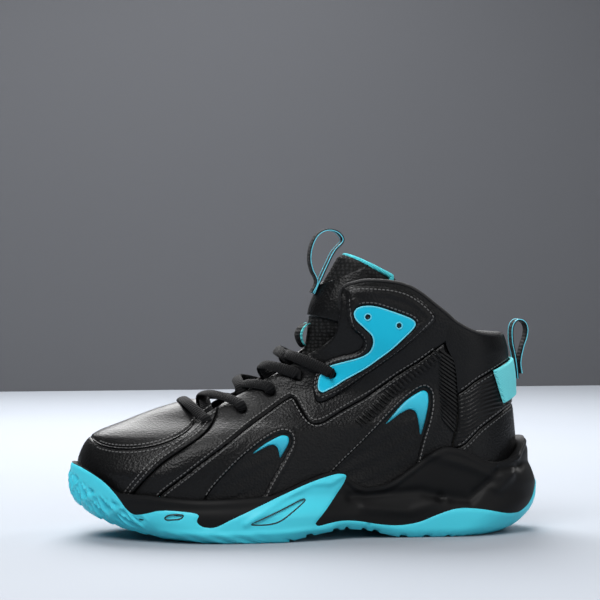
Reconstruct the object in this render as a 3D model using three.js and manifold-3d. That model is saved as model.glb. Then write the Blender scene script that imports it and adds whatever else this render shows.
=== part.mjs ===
// Basketball high top, the left shoe of a pair, built in layers as a shoe is lasted.
// Millimetres, +Z up, toe towards -X, lateral (outer) side towards -Y, standing on z = 0.
// Every outline is drawn in side view as [x, z] points at the drawn size, and lies on the shoe's skin.
import * as THREE from "three";
import { mergeVertices } from "three/addons/utils/BufferGeometryUtils.js";
import Module from "manifold-3d";

const wasm = await Module();
wasm.setup();

// Driving dimensions.
const shoeLength = 306; // toe tip to heel tip of the sole
const soleWidth = 110; // across the ball of the foot
const collarHeight = 165; // highest point of the ankle collar
const leather = 1.6; // upper panels
const overlayThickness = 1.2; // ankle overlay, ankle plate and heel band
const interlining = 1.2; // window backings, toe puff and heel counter
const liningThickness = 1.8;
const paddingThickness = 4.7; // foam inside the collar
const tongueThickness = 5.4; // foam of the tongue
const outsoleFloor = 4.5; // rubber under the foot
const outsoleWall = 4; // rubber where it climbs the side
const soleLip = 3.6; // midsole rim outside the upper
const laceDiameter = 3.8;
const eyeletClearance = 0.6; // lace to the edge of its hole, all round
const boardThickness = 2;
const sockThickness = 4.6;
const shankThickness = 1.5;
const webbing = 1.3; // pull loops and lace keeper
const loopWidth = 10;
const gap = 0.3; // between pieces that touch
const slack = 0.75; // between layers of the upper
const stand = 1.45; // overlays and padding, over the curves under them
const seam = 0.6; // between panels that meet edge to edge
const lasting = 0.6; // upper to the inside of the sole

const drawn = { length: 306, width: 110, height: 165 }; // the size the outlines are drawn at
const stretch = new THREE.Vector3(
  shoeLength / drawn.length,
  soleWidth / drawn.width,
  collarHeight / drawn.height,
);

// Distances from the skin to each layer's inner and outer face, negative towards the foot.
const layer = {};
layer.panel = [-leather, 0];
layer.overlay = [stand + 0.15, stand + 0.15 + overlayThickness];
layer.plate = [layer.overlay[1] + slack, layer.overlay[1] + slack + overlayThickness];
layer.backing = [-leather - slack - interlining, -leather - slack];
layer.lining = [layer.backing[0] - stand - liningThickness, layer.backing[0] - stand];
layer.padding = [layer.lining[0] - stand - paddingThickness, layer.lining[0] - stand];
layer.fang = [-leather, -gap];
const laceUnder = layer.lining[0] - gap - laceDiameter / 2; // lace centre below the eyestay
const laceOver = gap + laceDiameter / 2; // lace centre on top of the eyestay
const tongueOuter = Math.min(laceUnder - laceDiameter / 2, layer.padding[0]) - slack;

// Curves.
// Smooth function through [x, y] points that never overshoots them.
function curve(points) {
  const n = points.length;
  const rise = points.slice(1).map((p, i) => (p[1] - points[i][1]) / (p[0] - points[i][0]));
  const slope = points.map((p, i) => {
    if (i === 0) return rise[0];
    if (i === n - 1) return rise[n - 2];
    if (rise[i - 1] * rise[i] <= 0) return 0;
    return (2 * rise[i - 1] * rise[i]) / (rise[i - 1] + rise[i]);
  });
  return (x) => {
    if (x <= points[0][0]) return points[0][1] + (x - points[0][0]) * slope[0];
    if (x >= points[n - 1][0]) return points[n - 1][1] + (x - points[n - 1][0]) * slope[n - 1];
    const i = points.findIndex((p) => p[0] > x) - 1;
    const h = points[i + 1][0] - points[i][0];
    const t = (x - points[i][0]) / h;
    const a = 1 - t;
    return (
      a * a * (1 + 2 * t) * points[i][1] +
      t * t * (1 + 2 * a) * points[i + 1][1] +
      a * a * t * h * slope[i] -
      t * t * a * h * slope[i + 1]
    );
  };
}

// Open smooth line through [x, z] points, as a function of the share of its length.
function rail(points) {
  const line = new THREE.SplineCurve(points.map(([x, z]) => new THREE.Vector2(x, z)));
  line.arcLengthDivisions = 400;
  return (u) => line.getPointAt(Math.min(1, Math.max(0, u))).toArray();
}

const mix = (a, b, t) => a + (b - a) * t;
const evenly = (n) => Array.from({ length: n + 1 }, (_, i) => i / n);
const ease = (t) => {
  const c = Math.min(1, Math.max(0, t));
  return c * c * (3 - 2 * c);
};

// The skin: half-widths of the lasted upper over its side view.
const frontX = curve([
  [15, -140], [30, -145.5], [40, -147.2], [47, -147.5], [56, -145], [64, -140], [68, -133],
  [72, -122], [79, -104], [84, -89], [88, -74], [96, -50], [109.5, -28], [124, -14.5],
  [132, -13], [140, -12], [152, -9], [167, -2], [181, 6], [195, 14],
]);
const backX = curve([
  [15, 138], [40, 140], [60, 139], [80, 137.5], [100, 136.5], [118, 134], [130, 131],
  [136, 129.5], [150, 125], [195, 108],
]);
const planWidth = {
  "-1": curve([
    [-153, 44], [-102, 46.5], [-62, 47.5], [-42, 46], [-2, 39], [38, 34.5], [78, 34.5],
    [108, 35.5], [153, 35.5],
  ]),
  1: curve([
    [-153, 41], [-102, 44], [-67, 45.5], [-32, 41], [-2, 36.5], [28, 33.5], [78, 33.5],
    [108, 34.5], [153, 34.5],
  ]),
};
const shaftWidth = curve([[60, 36], [110, 33.5], [140, 35.5], [170, 34.5], [195, 34]]);
const frontRound = curve([
  [20, 58], [42, 58], [50, 75], [60, 100], [70, 150], [78, 220], [90, 235], [100, 185], [115, 105],
  [130, 62], [150, 48], [195, 44],
]);
const backRound = curve([[20, 46], [60, 45], [80, 42], [100, 40], [120, 37], [150, 34], [195, 34]]);
const midline = curve([[-153, 9], [-112, 6], [-72, 2.5], [-32, 0.5], [-2, 0], [153, 0]]);
const roundness = 2.2;
const shaftBlend = [45, 110]; // heights between which the plan shape turns into the shaft

const share = (z, [from, to]) => ease((z - from) / (to - from));
const rounded = (u) => Math.sqrt(Math.max(0, 1 - (1 - Math.min(1, Math.max(0, u))) ** roundness));

function halfWidth(side, x, z) {
  const wide = mix(planWidth[side](x), shaftWidth(z), share(z, shaftBlend));
  return wide * rounded((x - frontX(z)) / frontRound(z)) * rounded((backX(z) - x) / backRound(z));
}

// The sole's side wall.
const soleFrontX = curve([
  [0, -98], [2, -112], [5, -124], [9, -134], [14, -142], [20, -148], [27, -151.5], [36, -153],
  [43, -152.4], [53, -150.4],
]);
const soleBackX = curve([
  [0, 126], [5, 138], [10, 144.5], [16, 149.5], [24, 152.6], [31, 153], [40, 150.5], [46, 148],
  [52, 147.8], [58, 146.5], [62, 144.5], [67, 142],
]);
const soleWidest = {
  "-1": curve([
    [-153, 46], [-112, 49.5], [-62, 55], [-32, 54], [-2, 48.5], [28, 42.5], [58, 41], [98, 43],
    [153, 43],
  ]),
  1: curve([
    [-153, 44], [-112, 48], [-72, 52.5], [-32, 47], [-2, 42], [28, 39], [58, 38.5], [98, 41],
    [153, 41],
  ]),
};
const groundZ = curve([
  [-153, 25], [-148, 21.5], [-140, 15.5], [-125, 9], [-110, 4.8], [-95, 1.8], [-78, 0], [-28, 0],
  [-10, 2.8], [6, 5.6], [18, 6.8], [30, 6], [44, 3], [57, 0.3], [64, 0], [120, 0], [132, 1],
  [141, 4], [148, 9.5], [153, 16],
]);
const featherZ = curve([
  [-147, 30], [-130, 22], [-110, 17], [-80, 15], [-50, 15], [-10, 18], [30, 22], [70, 25],
  [110, 26], [143, 27],
]);
const heelRim = [
  [116.5, 46.5], [124, 46.8], [131, 50], [137, 54.5], [141, 58.5], [146, 61.5],
];
const rimZ = {
  "-1": curve([
    [-153, 47.5], [-147, 45.8], [-139.5, 41.8], [-133, 37], [-126.5, 31], [-109, 30], [-91, 28],
    [-73.5, 27], [-51, 27.5], [-33, 28.5], [-6, 38], [13, 43], [19, 40], [25.5, 34.5], [33, 32],
    [42.5, 33], [50, 36], [60.5, 43], [71, 50.5], [79, 55.5], [85.5, 57], [92.5, 56], [103, 51.5],
    ...heelRim,
  ]),
  1: curve([
    [-153, 47.5], [-147, 45.8], [-139.5, 42.2], [-133, 38.5], [-120, 32], [-108, 29.5], [-78, 27],
    [-52, 26.5], [-25, 28], [3, 31.5], [28, 36], [55, 41], [72, 47.5], [85, 55], [93, 57],
    [103, 53], ...heelRim,
  ]),
};
const bottomBevel = { height: 6, depth: 3.5 };
const flare = [15, 30]; // heights between which the wall turns from the sole's plan to the upper's

function soleHalfWidth(side, x, z) {
  const upper = mix(planWidth[side](x), shaftWidth(z), share(z, shaftBlend));
  const wide = mix(soleWidest[side](x), upper + soleLip / stretch.y, share(z, flare));
  const low = Math.max(0, 1 - (z - groundZ(x)) / bottomBevel.height);
  return (
    (wide - bottomBevel.depth * low * low) *
    rounded((x - soleFrontX(z)) / frontRound(z)) *
    rounded((soleBackX(z) - x) / backRound(z))
  );
}

// A point of a side wall in the real size, moved out along the wall's normal.
function wallPoint(width, front, back, side, x, z, out) {
  const inside = 0.05;
  const step = 0.02;
  const xi = Math.min(back(z) - inside, Math.max(front(z) + inside, x));
  const dx = (width(side, xi + step, z) - width(side, xi - step, z)) / (2 * step);
  const dz = (width(side, xi, z + step) - width(side, xi, z - step)) / (2 * step);
  const edge = x <= front(z) || x >= back(z);
  const normal = new THREE.Vector3(-dx, edge ? 0 : side, -dz).divide(stretch).normalize();
  const y = midline(x) + (edge ? 0 : side * width(side, x, z));
  return new THREE.Vector3(x, y, z).multiply(stretch).addScaledVector(normal, out);
}
const skin = (side, x, z, out) => wallPoint(halfWidth, frontX, backX, side, x, z, out);
const soleWall = (side, x, z, out) => wallPoint(soleHalfWidth, soleFrontX, soleBackX, side, x, z, out);

// Solids.
function meshGeometry(points, faces) {
  const g = new THREE.BufferGeometry();
  g.setAttribute("position", new THREE.Float32BufferAttribute(points.flatMap((p) => p.toArray()), 3));
  const cross = (b, c) => new THREE.Vector3().crossVectors(points[b], points[c]);
  const volume = faces.reduce((sum, [a, b, c]) => sum + points[a].dot(cross(b, c)), 0);
  g.setIndex(faces.flatMap(([a, b, c]) => (volume < 0 ? [a, c, b] : [a, b, c])));
  return g;
}

function solid(geometry) {
  const g = geometry.clone();
  g.deleteAttribute("normal");
  g.deleteAttribute("uv");
  const merged = mergeVertices(g, 1e-4);
  return new wasm.Manifold(
    new wasm.Mesh({
      numProp: 3,
      vertProperties: merged.attributes.position.array,
      triVerts: new Uint32Array(merged.index.array),
    }),
  );
}

function geometryOf(made) {
  const mesh = made.getMesh();
  const g = new THREE.BufferGeometry();
  g.setAttribute("position", new THREE.BufferAttribute(mesh.vertProperties, 3));
  g.setIndex(new THREE.BufferAttribute(mesh.triVerts, 1));
  return g;
}

// A closed sheet over a grid of spots [side, x, z], between two distances from the skin.
function sheet(spots, [inner, outer]) {
  const cols = spots.length;
  const rows = spots[0].length;
  const depth = (d, i, j) => (typeof d === "function" ? d(i / (cols - 1), j / (rows - 1)) : d);
  const points = [outer, inner].flatMap((d) =>
    spots.flatMap((column, i) => column.map(([side, x, z], j) => skin(side, x, z, depth(d, i, j)))),
  );
  const at = (level, i, j) => level * cols * rows + i * rows + j;
  const faces = [];
  const quad = (a, b, c, d) => faces.push([a, b, c], [a, c, d]);
  for (let i = 0; i < cols - 1; i++)
    for (let j = 0; j < rows - 1; j++) {
      quad(at(0, i, j), at(0, i + 1, j), at(0, i + 1, j + 1), at(0, i, j + 1));
      quad(at(1, i, j), at(1, i, j + 1), at(1, i + 1, j + 1), at(1, i + 1, j));
    }
  for (let i = 0; i < cols - 1; i++) {
    quad(at(0, i, 0), at(1, i, 0), at(1, i + 1, 0), at(0, i + 1, 0));
    quad(at(0, i, rows - 1), at(0, i + 1, rows - 1), at(1, i + 1, rows - 1), at(1, i, rows - 1));
  }
  for (let j = 0; j < rows - 1; j++) {
    quad(at(0, 0, j), at(0, 0, j + 1), at(1, 0, j + 1), at(1, 0, j));
    quad(at(0, cols - 1, j), at(1, cols - 1, j), at(1, cols - 1, j + 1), at(0, cols - 1, j + 1));
  }
  return meshGeometry(points, faces);
}

// Spots of one side between two rails.
function between(side, low, high, cols, rows) {
  return Array.from({ length: cols + 1 }, (_, i) => {
    const u = i / cols;
    const [a, b] = [low(u), high(u)];
    return evenly(rows).map((v) => [side, mix(a[0], b[0], v), mix(a[1], b[1], v)]);
  });
}

// Spots of one side inside four rails: low and high run the same way, start and end run upwards.
function patchwork(side, { low, high, start, end }, at, rows) {
  return at.map((u) => {
    return Array.from({ length: rows + 1 }, (_, j) => {
      const v = j / rows;
      const across = [0, 1].map((k) => {
        const corners = mix(mix(low(0)[k], low(1)[k], u), mix(high(0)[k], high(1)[k], u), v);
        return mix(low(u)[k], high(u)[k], v) + mix(start(v)[k], end(v)[k], u) - corners;
      });
      return [side, ...across];
    });
  });
}

// One grid from both sides' grids, which share the column on the centre line.
const roundToe = (make) => [...make(1).slice(1).reverse(), ...make(-1)];
const roundHeel = (make) => [...make(-1), ...make(1).slice(0, -1).reverse()];

// A solid from closed rings round the shoe, capped straight across.
function ringSolid(levels, ring) {
  const loops = Array.from({ length: levels + 1 }, (_, k) => ring(k / levels));
  const m = loops[0].length;
  const half = m / 2; // points 0..half run along the lateral side, the rest come back
  const points = loops.flat();
  const faces = [];
  const quad = (a, b, c, d) => faces.push([a, b, c], [a, c, d]);
  for (let k = 0; k < levels; k++)
    for (let i = 0; i < m; i++) {
      const j = (i + 1) % m;
      quad(k * m + i, k * m + j, (k + 1) * m + j, (k + 1) * m + i);
    }
  const cap = (base, flip) => {
    const add = (a, b, c) => faces.push(flip ? [a, c, b] : [a, b, c]);
    add(base, base + m - 1, base + 1);
    for (let i = 1; i < half - 1; i++) {
      add(base + i, base + m - i, base + m - i - 1);
      add(base + i, base + m - i - 1, base + i + 1);
    }
    add(base + half - 1, base + half + 1, base + half);
  };
  cap(0, false);
  cap(levels * m, true);
  return meshGeometry(points, faces);
}

// Points round the shoe at one level: lateral side from toe to heel, then back along the medial side.
function loopRound(count, front, back, heightAt, place) {
  const one = (side, i) => {
    const along = 0.5 - 0.5 * Math.cos((Math.PI * i) / count);
    const guess = mix(-150, 150, along);
    const near = mix(front(heightAt(side, guess)), back(heightAt(side, guess)), along);
    const z = heightAt(side, near);
    return place(side, mix(front(z), back(z), along), z);
  };
  const lateral = Array.from({ length: count + 1 }, (_, i) => one(-1, i));
  const medial = Array.from({ length: count - 1 }, (_, i) => one(1, count - 1 - i));
  return [...lateral, ...medial];
}

// A side-view outline as a prism through one side of the shoe.
const sideReach = 90;
function prism(side, points, past = 0) {
  const shape = new THREE.Shape(points.map(([x, z]) => new THREE.Vector2(x * stretch.x, z * stretch.z)));
  const g = new THREE.ExtrudeGeometry(shape, { depth: sideReach + past, bevelEnabled: false });
  g.rotateX(Math.PI / 2); // the outline's second axis becomes +Z and its depth -Y
  g.translate(0, side < 0 ? past : sideReach, 0);
  return solid(g);
}

// An outline moved outwards (or inwards, when negative) by a distance.
function grown(points, distance) {
  const area = points.reduce((sum, [x, z], i) => {
    const [x2, z2] = points[(i + 1) % points.length];
    return sum + x * z2 - x2 * z;
  }, 0);
  const sign = area > 0 ? 1 : -1;
  return points.map(([x, z], i) => {
    const [ax, az] = points[(i + points.length - 1) % points.length];
    const [bx, bz] = points[(i + 1) % points.length];
    const length = Math.hypot(bx - ax, bz - az);
    return [x + (sign * distance * (bz - az)) / length, z - (sign * distance * (bx - ax)) / length];
  });
}

// A patch of one side cut to an outline, on a grid that covers it.
function patch(side, outline, depths, step = 9) {
  const xs = outline.map((p) => p[0]);
  const zs = outline.map((p) => p[1]);
  const margin = 2;
  const [left, right] = [Math.min(...xs) - margin, Math.max(...xs) + margin];
  const [bottom, top] = [Math.min(...zs) - margin, Math.max(...zs) + margin];
  const cols = Math.ceil((right - left) / step);
  const rows = Math.ceil((top - bottom) / step);
  const low = (u) => [mix(left, right, u), bottom];
  const high = (u) => [mix(left, right, u), top];
  return solid(sheet(between(side, low, high, cols, rows), depths)).intersect(prism(side, outline));
}

// A round punch through the upper at a spot, along the skin's normal.
function punch(side, [x, z], radius) {
  const [a, b] = [skin(side, x, z, -12), skin(side, x, z, 8)];
  const g = new THREE.CylinderGeometry(radius, radius, a.distanceTo(b), 7);
  const along = b.clone().sub(a).normalize();
  g.applyQuaternion(new THREE.Quaternion().setFromUnitVectors(new THREE.Vector3(0, 1, 0), along));
  const mid = a.add(b).multiplyScalar(0.5);
  g.translate(mid.x, mid.y, mid.z);
  return solid(g);
}

// Outlines of the upper.
const sewn = 0.8; // lower edges of the upper stand this far above the lasting board's underside
const feather = (x) => featherZ(x) + sewn;
const onFeather = (from, to) => (u) => {
  const x = mix(from, to, u);
  return [x, feather(x)];
};
const toeFeather = [frontX(feather(-147)), feather(-147)];
const heelFeather = [backX(feather(140)), feather(140)];
const plugSeam = [
  [-140, 64], [-137.5, 61.5], [-132.5, 59.5], [-124, 58.5], [-113.5, 59], [-100.5, 61.5],
  [-88.5, 66], [-80, 71], [-75.5, 75],
];
const toeSeam = [
  [-119, 19.5], [-116.5, 30.5], [-101.5, 48], [-83.5, 60.5], [-72, 68], [-64, 76], [-60.5, 84.5],
];
const throatEdge = [
  [-60.5, 84.5], [-51, 89.5], [-42, 94], [-31.5, 100], [-16.5, 108.5], [-4.5, 116], [4, 121],
  [11, 126],
];
const ankleFront = [[14.5, 134], [16, 146], [17, 158.5]];
const collarFront = [[20, 162], [25, 163.7], [34, 165], [49, 164], [59.5, 161.5], [68, 157], [77, 150]];
const collarBack = [[85, 143.5], [92.5, 137], [103.5, 131.5], [114, 129.5], [124, 129.5]];
const quarterSeam = [
  [-103, 18], [-100.5, 29.5], [-84, 43], [-67.5, 55.5], [-50, 68], [-32, 79.5], [-16, 89.5],
  [-12, 89], [-8, 81], [-3, 74.5], [4, 74.5], [16, 80.5], [36.5, 91.5], [55.5, 104.5], [69, 113],
  [84, 124],
];
const shaftSeam = [[84, 124], [90, 111], [92.5, 92], [92, 74], [89, 57], [86, feather(86)]];
const heelSeamHigh = [[92.5, 91.5], [97, 94], [106.5, 100], [117, 105.5], [128, 110.5], [135.2, 112]];
const heelSeamLow = [[91, 54], [96, 58.5], [109, 69.5], [124.5, 79], [133, 82.5], [137.4, 83.5]];
const frontWindow = [
  [-74, 24], [-67.5, 35], [-51, 52], [-37, 62.5], [-27.5, 67.5], [-20.5, 69], [-16.5, 66.5],
  [-16.5, 61], [-23.5, 49], [-30.5, 38], [-38, 24],
];
const frontFang = [
  [-44, 54.5], [-36, 60.5], [-28, 65], [-22, 67.5], [-18, 66], [-18, 62], [-22.5, 54.5], [-24, 52],
  [-25, 59], [-28, 61.5], [-32.5, 60.5],
];
const rearWindow = [
  [2, 31], [11, 43.5], [29, 59.5], [44.5, 75], [58, 87.5], [70.5, 96.5], [75.5, 94], [76, 86],
  [74, 76], [68.5, 59], [62, 31],
];
const rearFang = [
  [43.5, 71], [48.5, 76], [58, 86.5], [66.5, 92], [71.5, 94], [74.3, 92], [74.3, 86], [72, 76],
  [68.5, 63.5], [68, 68], [67, 76], [65.5, 81], [61.5, 82.5], [55.5, 79.5],
];
const ankleOverlay = [
  [20, 158.5], [20.5, 148], [21.5, 139], [24, 133], [30, 129], [32, 123.5], [27, 118.5],
  [13, 115.5], [6, 111], [2, 104], [0, 95], [0.5, 87.5], [4, 85.5], [17, 91.5], [36, 105.5],
  [54, 118.5], [77, 138], [78, 142.5], [70, 150.5], [60, 157], [49, 160], [34, 161], [24.5, 160.5],
];
const anklePlate = [
  [24.5, 144], [26.5, 147], [31, 148.3], [38.5, 148], [54, 142.8], [61.5, 140], [64, 137.5],
  [63, 134.5], [54, 126], [46.5, 119.5], [34.5, 110], [22, 102], [9.5, 93.5], [6, 91], [3.7, 92.5],
  [3.2, 96], [4.5, 103], [10, 110], [19.5, 113], [29, 115.5], [35.5, 119.5], [37.5, 125],
  [36.5, 130], [31, 135], [25.5, 140],
];
const laceRows = [[-68.5, 74.5], [-46, 83], [-26.5, 93.5], [-9, 103], [12.5, 104.5]]; // toe to ankle
const spareHoles = [[33, 141.5], [53, 136]];

// Sole unit.
const soleLoops = 24;
const wallLevels = 5;
function soleBlock(inset, floor, rim) {
  return solid(
    ringSolid(wallLevels, (t) =>
      loopRound(soleLoops, soleFrontX, soleBackX,
        (side, x) => mix(groundZ(x) + floor, rim(side, x), t),
        (side, x, z) => soleWall(side, x, z, -inset)),
    ),
  );
}
const cavityTop = 74;
const footForm = solid(
  ringSolid(6, (t) =>
    loopRound(soleLoops, frontX, backX,
      (side, x) => mix(featherZ(x), cavityTop, t),
      (side, x, z) => skin(side, x, z, lasting)),
  ),
);
const rubberLineLateral = [
  [-158, 48.5], [-152, 47.3], [-147, 45.8], [-139.5, 41.8], [-133, 37], [-126.5, 29.6],
  [-121, 21.2], [-116.5, 17.8], [-110, 18.8], [-100, 21.7], [-76, 19.7], [-79, 14.3], [-75, 10.9],
  [-67, 10.4], [-56.5, 15.8], [-33, 25.7], [-6, 36.8], [12, 42.2], [19.5, 41.2], [17.5, 36],
  [9, 24.5], [0, 14.8], [-3.5, 10.8], [-1, 9.6], [7, 11.4], [16, 12.6], [26.5, 11.8], [39.5, 9.2],
  [53, 8], [66, 9.8], [79, 15.2], [88.5, 18.2], [96.5, 18.8], [109.5, 17.5], [125.5, 14],
  [135, 14], [143, 18.5], [148, 25], [152, 33], [158, 41],
];
const rubberLineMedial = [
  [-158, 48.5], [-152, 47.3], [-147, 45.8], [-138, 43], [-130, 39], [-112, 28], [-91, 14.8],
  [-85, 14.6], [-76, 17], [-61, 20.5], [-46, 21], [-27, 17], [-4, 13.5], [24, 12.5], [55, 10],
  [75, 12.5], [90, 16], [105, 15.5], [120, 13.5], [135, 14], [143, 18.5], [148, 25], [152, 33],
  [158, 41],
];
const below = -20;
const above = 110;
const closedBy = (line, z) => [...line, [line[line.length - 1][0], z], [line[0][0], z]];
const raised = (line) => grown(closedBy(line, below), 0.75 * gap).slice(0, line.length);
const lowered = (line) => grown(closedBy(line, below), -0.75 * gap).slice(0, line.length);
const zone = (move, end) =>
  prism(-1, closedBy(move(rubberLineLateral), end), 0.05).add(
    prism(1, closedBy(move(rubberLineMedial), end)),
  );
const rubberZone = zone(lowered, below);
const foamZone = zone(raised, above);
const fullRim = (side, x) => rimZ[side](x);
const openRim = () => above;
const wholeSole = soleBlock(0, 0, fullRim).subtract(footForm);
const rubberCup = soleBlock(outsoleWall, outsoleFloor, openRim);
const foamCore = soleBlock(outsoleWall + gap, outsoleFloor + gap, openRim);

// The shank lies in a pocket in the top of the midsole, under the lasting board.
const shank = { from: -25, to: 85, halfWidth: 11 };
const shankPocket = (grow) => {
  const steps = 8;
  const rows = [];
  for (let i = 0; i <= steps; i++) {
    const x = mix(shank.from - grow, shank.to + grow, i / steps);
    const half = shank.halfWidth + grow;
    const top = featherZ(x) * stretch.z - gap + (grow > 0 ? 4 : 0);
    const bottom = featherZ(x) * stretch.z - gap - shankThickness - grow;
    const section = [[-half, bottom], [half, bottom], [half, top], [-half, top]];
    rows.push(section.map(([y, z]) => [x * stretch.x, y, z]));
  }
  const points = rows.flat().map((p) => new THREE.Vector3(...p));
  const faces = [[0, 1, 2], [0, 2, 3]];
  for (let i = 0; i < steps; i++)
    for (let k = 0; k < 4; k++) {
      const [a, b] = [i * 4 + k, i * 4 + ((k + 1) % 4)];
      faces.push([a, a + 4, b + 4], [a, b + 4, b]);
    }
  const last = steps * 4;
  faces.push([last, last + 2, last + 1], [last, last + 3, last + 2]);
  return meshGeometry(points, faces);
};

const outsole = wholeSole.intersect(rubberZone).subtract(rubberCup);
const midsole = wholeSole
  .intersect(foamZone.add(foamCore))
  .subtract(solid(shankPocket(gap)))
  .subtract(outsole);

// Plates inside the upper: between two heights above the board's underside, in from the lining.
function insideFoot(inset, low, high, count) {
  return ringSolid(1, (t) =>
    loopRound(count, frontX, backX,
      (side, x) => featherZ(x) + mix(low, high, t) / stretch.z,
      (side, x, z) => skin(side, x, z, layer.lining[0] - inset)),
  );
}
const boardTop = gap + boardThickness;
const insoleBoard = insideFoot(1, gap, boardTop, 26);
const sockliner = insideFoot(2.2, boardTop + gap, boardTop + gap + sockThickness, 26);

// Upper.
const straight = (a, b) => (u) => [mix(a[0], b[0], u), mix(a[1], b[1], u)];
// The centre line at the toe and at the heel, between two heights.
const toeLine = (from, to) => (v) => [frontX(mix(from, to, v)), mix(from, to, v)];
const heelLine = (from, to) => (v) => [backX(mix(from, to, v)), mix(from, to, v)];
// A rail moved sideways, to the left of its direction when positive.
const beside = (line, distance) => (u) => {
  const [a, b] = [line(Math.max(0, u - 0.004)), line(Math.min(1, u + 0.004))];
  const length = Math.hypot(b[0] - a[0], b[1] - a[1]);
  const [x, z] = line(u);
  return [x - (distance * (b[1] - a[1])) / length, z + (distance * (b[0] - a[0])) / length];
};

// The height of the centre line at a station.
function ridgeHeight(x) {
  let [low, high] = [50, 195];
  for (let i = 0; i < 40; i++) {
    const mid = (low + high) / 2;
    if (frontX(mid) < x) low = mid;
    else high = mid;
  }
  return low;
}
const ridgeRail = (from, to) => (u) => {
  const z = mix(from, to, u);
  return [frontX(z), z];
};

// Columns of one side from an edge up to the centre line.
const toRidge = (side, edge, top, at, rows) =>
  at.map((u) =>
    Array.from({ length: rows + 1 }, (_, j) => {
      const v = (1 - j / rows) ** 2;
      return [side, mix(top(u)[0], edge(u)[0], v), mix(top(u)[1], edge(u)[1], v)];
    }),
  );
const overRidge = (make) => {
  const [lateral, medial] = [make(-1), make(1)];
  return lateral.map((column, i) => [...column, ...medial[i].slice(0, -1).reverse()]);
};

// Toe: the wrap round the toe, the plug on top, and the lining behind both, on shared columns.
const wrapTop = rail([...plugSeam, [-68, 80.5], throatEdge[0]]);
const plugShare = 0.775; // share of the wrap's top edge that meets the plug
const plugCols = [0, 1, 2, 3, 4, 5, 6, 7, 8, 9, 10, 11].map((i) => plugShare * (i / 11) ** 2);
const wrapCols = [...plugCols, mix(plugShare, 1, 0.5), 1];
const alongFeather = (...stations) => stations.map((x) => [x, feather(x)]);
const wrapLow = rail([toeFeather, ...alongFeather(-145, -141, -132), toeSeam[0]]);
const plugTop = ridgeRail(plugSeam[0][1] + 1.6, ridgeHeight(-85));
const wrapSides = (drop) => ({
  low: wrapLow,
  high: (u) => (u === 0 ? toeLine(toeFeather[1], plugSeam[0][1] - drop)(1) : beside(wrapTop, -drop)(u)),
  start: toeLine(toeFeather[1], plugSeam[0][1] - drop),
  end: rail([...toeSeam.slice(0, -1), beside(wrapTop, -drop)(1)]),
});
const wrapRows = 5;
const wrapSpots = (drop) => roundToe((side) => patchwork(side, wrapSides(drop), wrapCols, wrapRows));
const toePuff = () => wrapSpots(seam / 2).slice(4, -4).map((column) => column.slice(0, -1));
const plugSpots = overRidge((side) => toRidge(side, beside(wrapTop, seam / 2), plugTop, plugCols, 4));
const vampLiningSpots = overRidge((side) => {
  const lower = patchwork(side, wrapSides(0), wrapCols, wrapRows).slice(0, plugCols.length);
  const upper = toRidge(side, wrapTop, plugTop, plugCols, 4);
  return lower.map((column, i) => [...column, ...upper[i].slice(1)]);
});
const vampBack = patchwork(1, wrapSides(0), wrapCols, wrapRows)[plugCols.length - 1].map(([, x, z]) => [x, z]);

// Eyestay, from the forefoot band at the sole up the throat to the collar, and the quarter below it.
const topline = [...ankleFront, ...collarFront, [85, 143.5]];
const seamLine = rail(quarterSeam);
const quarterCols = evenly(26);
const eyestayLow = beside(seamLine, seam / 2);
const lifted = (points, dx, dz) => points.map(([x, z]) => [x + dx, z + dz]);
const eyestayHigh = rail([...lifted(toeSeam, 1.7, -1), ...throatEdge.slice(1), ...topline]);
const eyestaySpots = (side) =>
  patchwork(side, {
    low: eyestayLow,
    high: eyestayHigh,
    start: straight(eyestayLow(0), eyestayHigh(0)),
    end: straight(eyestayLow(1), eyestayHigh(1)),
  }, quarterCols, 5);
const rearEdge = rail([
  [86, feather(86)], [89, 57], [92, 74], [92.5, 92], [90, 111], [84, 124], [85, 143.5],
]);
const shareAt = (z) => {
  const miss = (u) => Math.abs(rearEdge(u)[1] - z);
  return evenly(300).reduce((best, u) => (miss(u) < miss(best) ? u : best));
};
const quarterLow = rail(alongFeather(-100, -80, -50, -10, 30, 60, 86));
const quarterHigh = beside(seamLine, -seam / 2);
const quarterTop = shareAt(quarterHigh(1)[1]);
const quarterSpots = (side) =>
  patchwork(side, {
    low: quarterLow,
    high: quarterHigh,
    start: straight(quarterLow(0), quarterHigh(0)),
    end: (v) => rearEdge(v * quarterTop),
  }, quarterCols, 7);

// Heel: three bands that wrap round the back, below, between and above the ribbed panel's seams.
const heelEdge = (z) => [backX(z), z];
const behind = (u) => [rearEdge(u)[0] + 2 * seam, rearEdge(u)[1]];
const [splitLow, splitHigh] = [shareAt(56), shareAt(91)];
const heelCols = evenly(8).map((u) => 1 - (1 - u) ** 2);
const heelBand = (low, high, from, to, rows) =>
  roundHeel((side) =>
    patchwork(side, {
      low,
      high,
      start: (v) => {
        const bow = behind(mix(from, to, v))[0] - mix(behind(from)[0], behind(to)[0], v);
        return [mix(low(0)[0], high(0)[0], v) + bow, mix(low(0)[1], high(0)[1], v)];
      },
      end: heelLine(low(1)[1], high(1)[1]),
    }, heelCols, rows),
  );
const heelSeam = (start, points, dz) => rail([start, ...points].map(([x, z]) => [x, z + dz]));
const panelLow = [[97, 58.5], [109, 69.5], [124.5, 79], [133, 82.5], heelEdge(83.5)];
const panelHigh = [[99, 94.5], [106.5, 100], [117, 105.5], [128, 110.5], heelEdge(112)];
const lowSeam = (dz) => heelSeam(behind(splitLow), panelLow, dz);
const highSeam = (dz) => heelSeam(behind(splitHigh), panelHigh, dz);
const heelBase = rail([behind(0), [110, feather(110)], [130, feather(130)], heelFeather]);
const collarRear = rail([behind(1), ...collarBack.slice(1), heelEdge(129.5)]);

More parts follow.
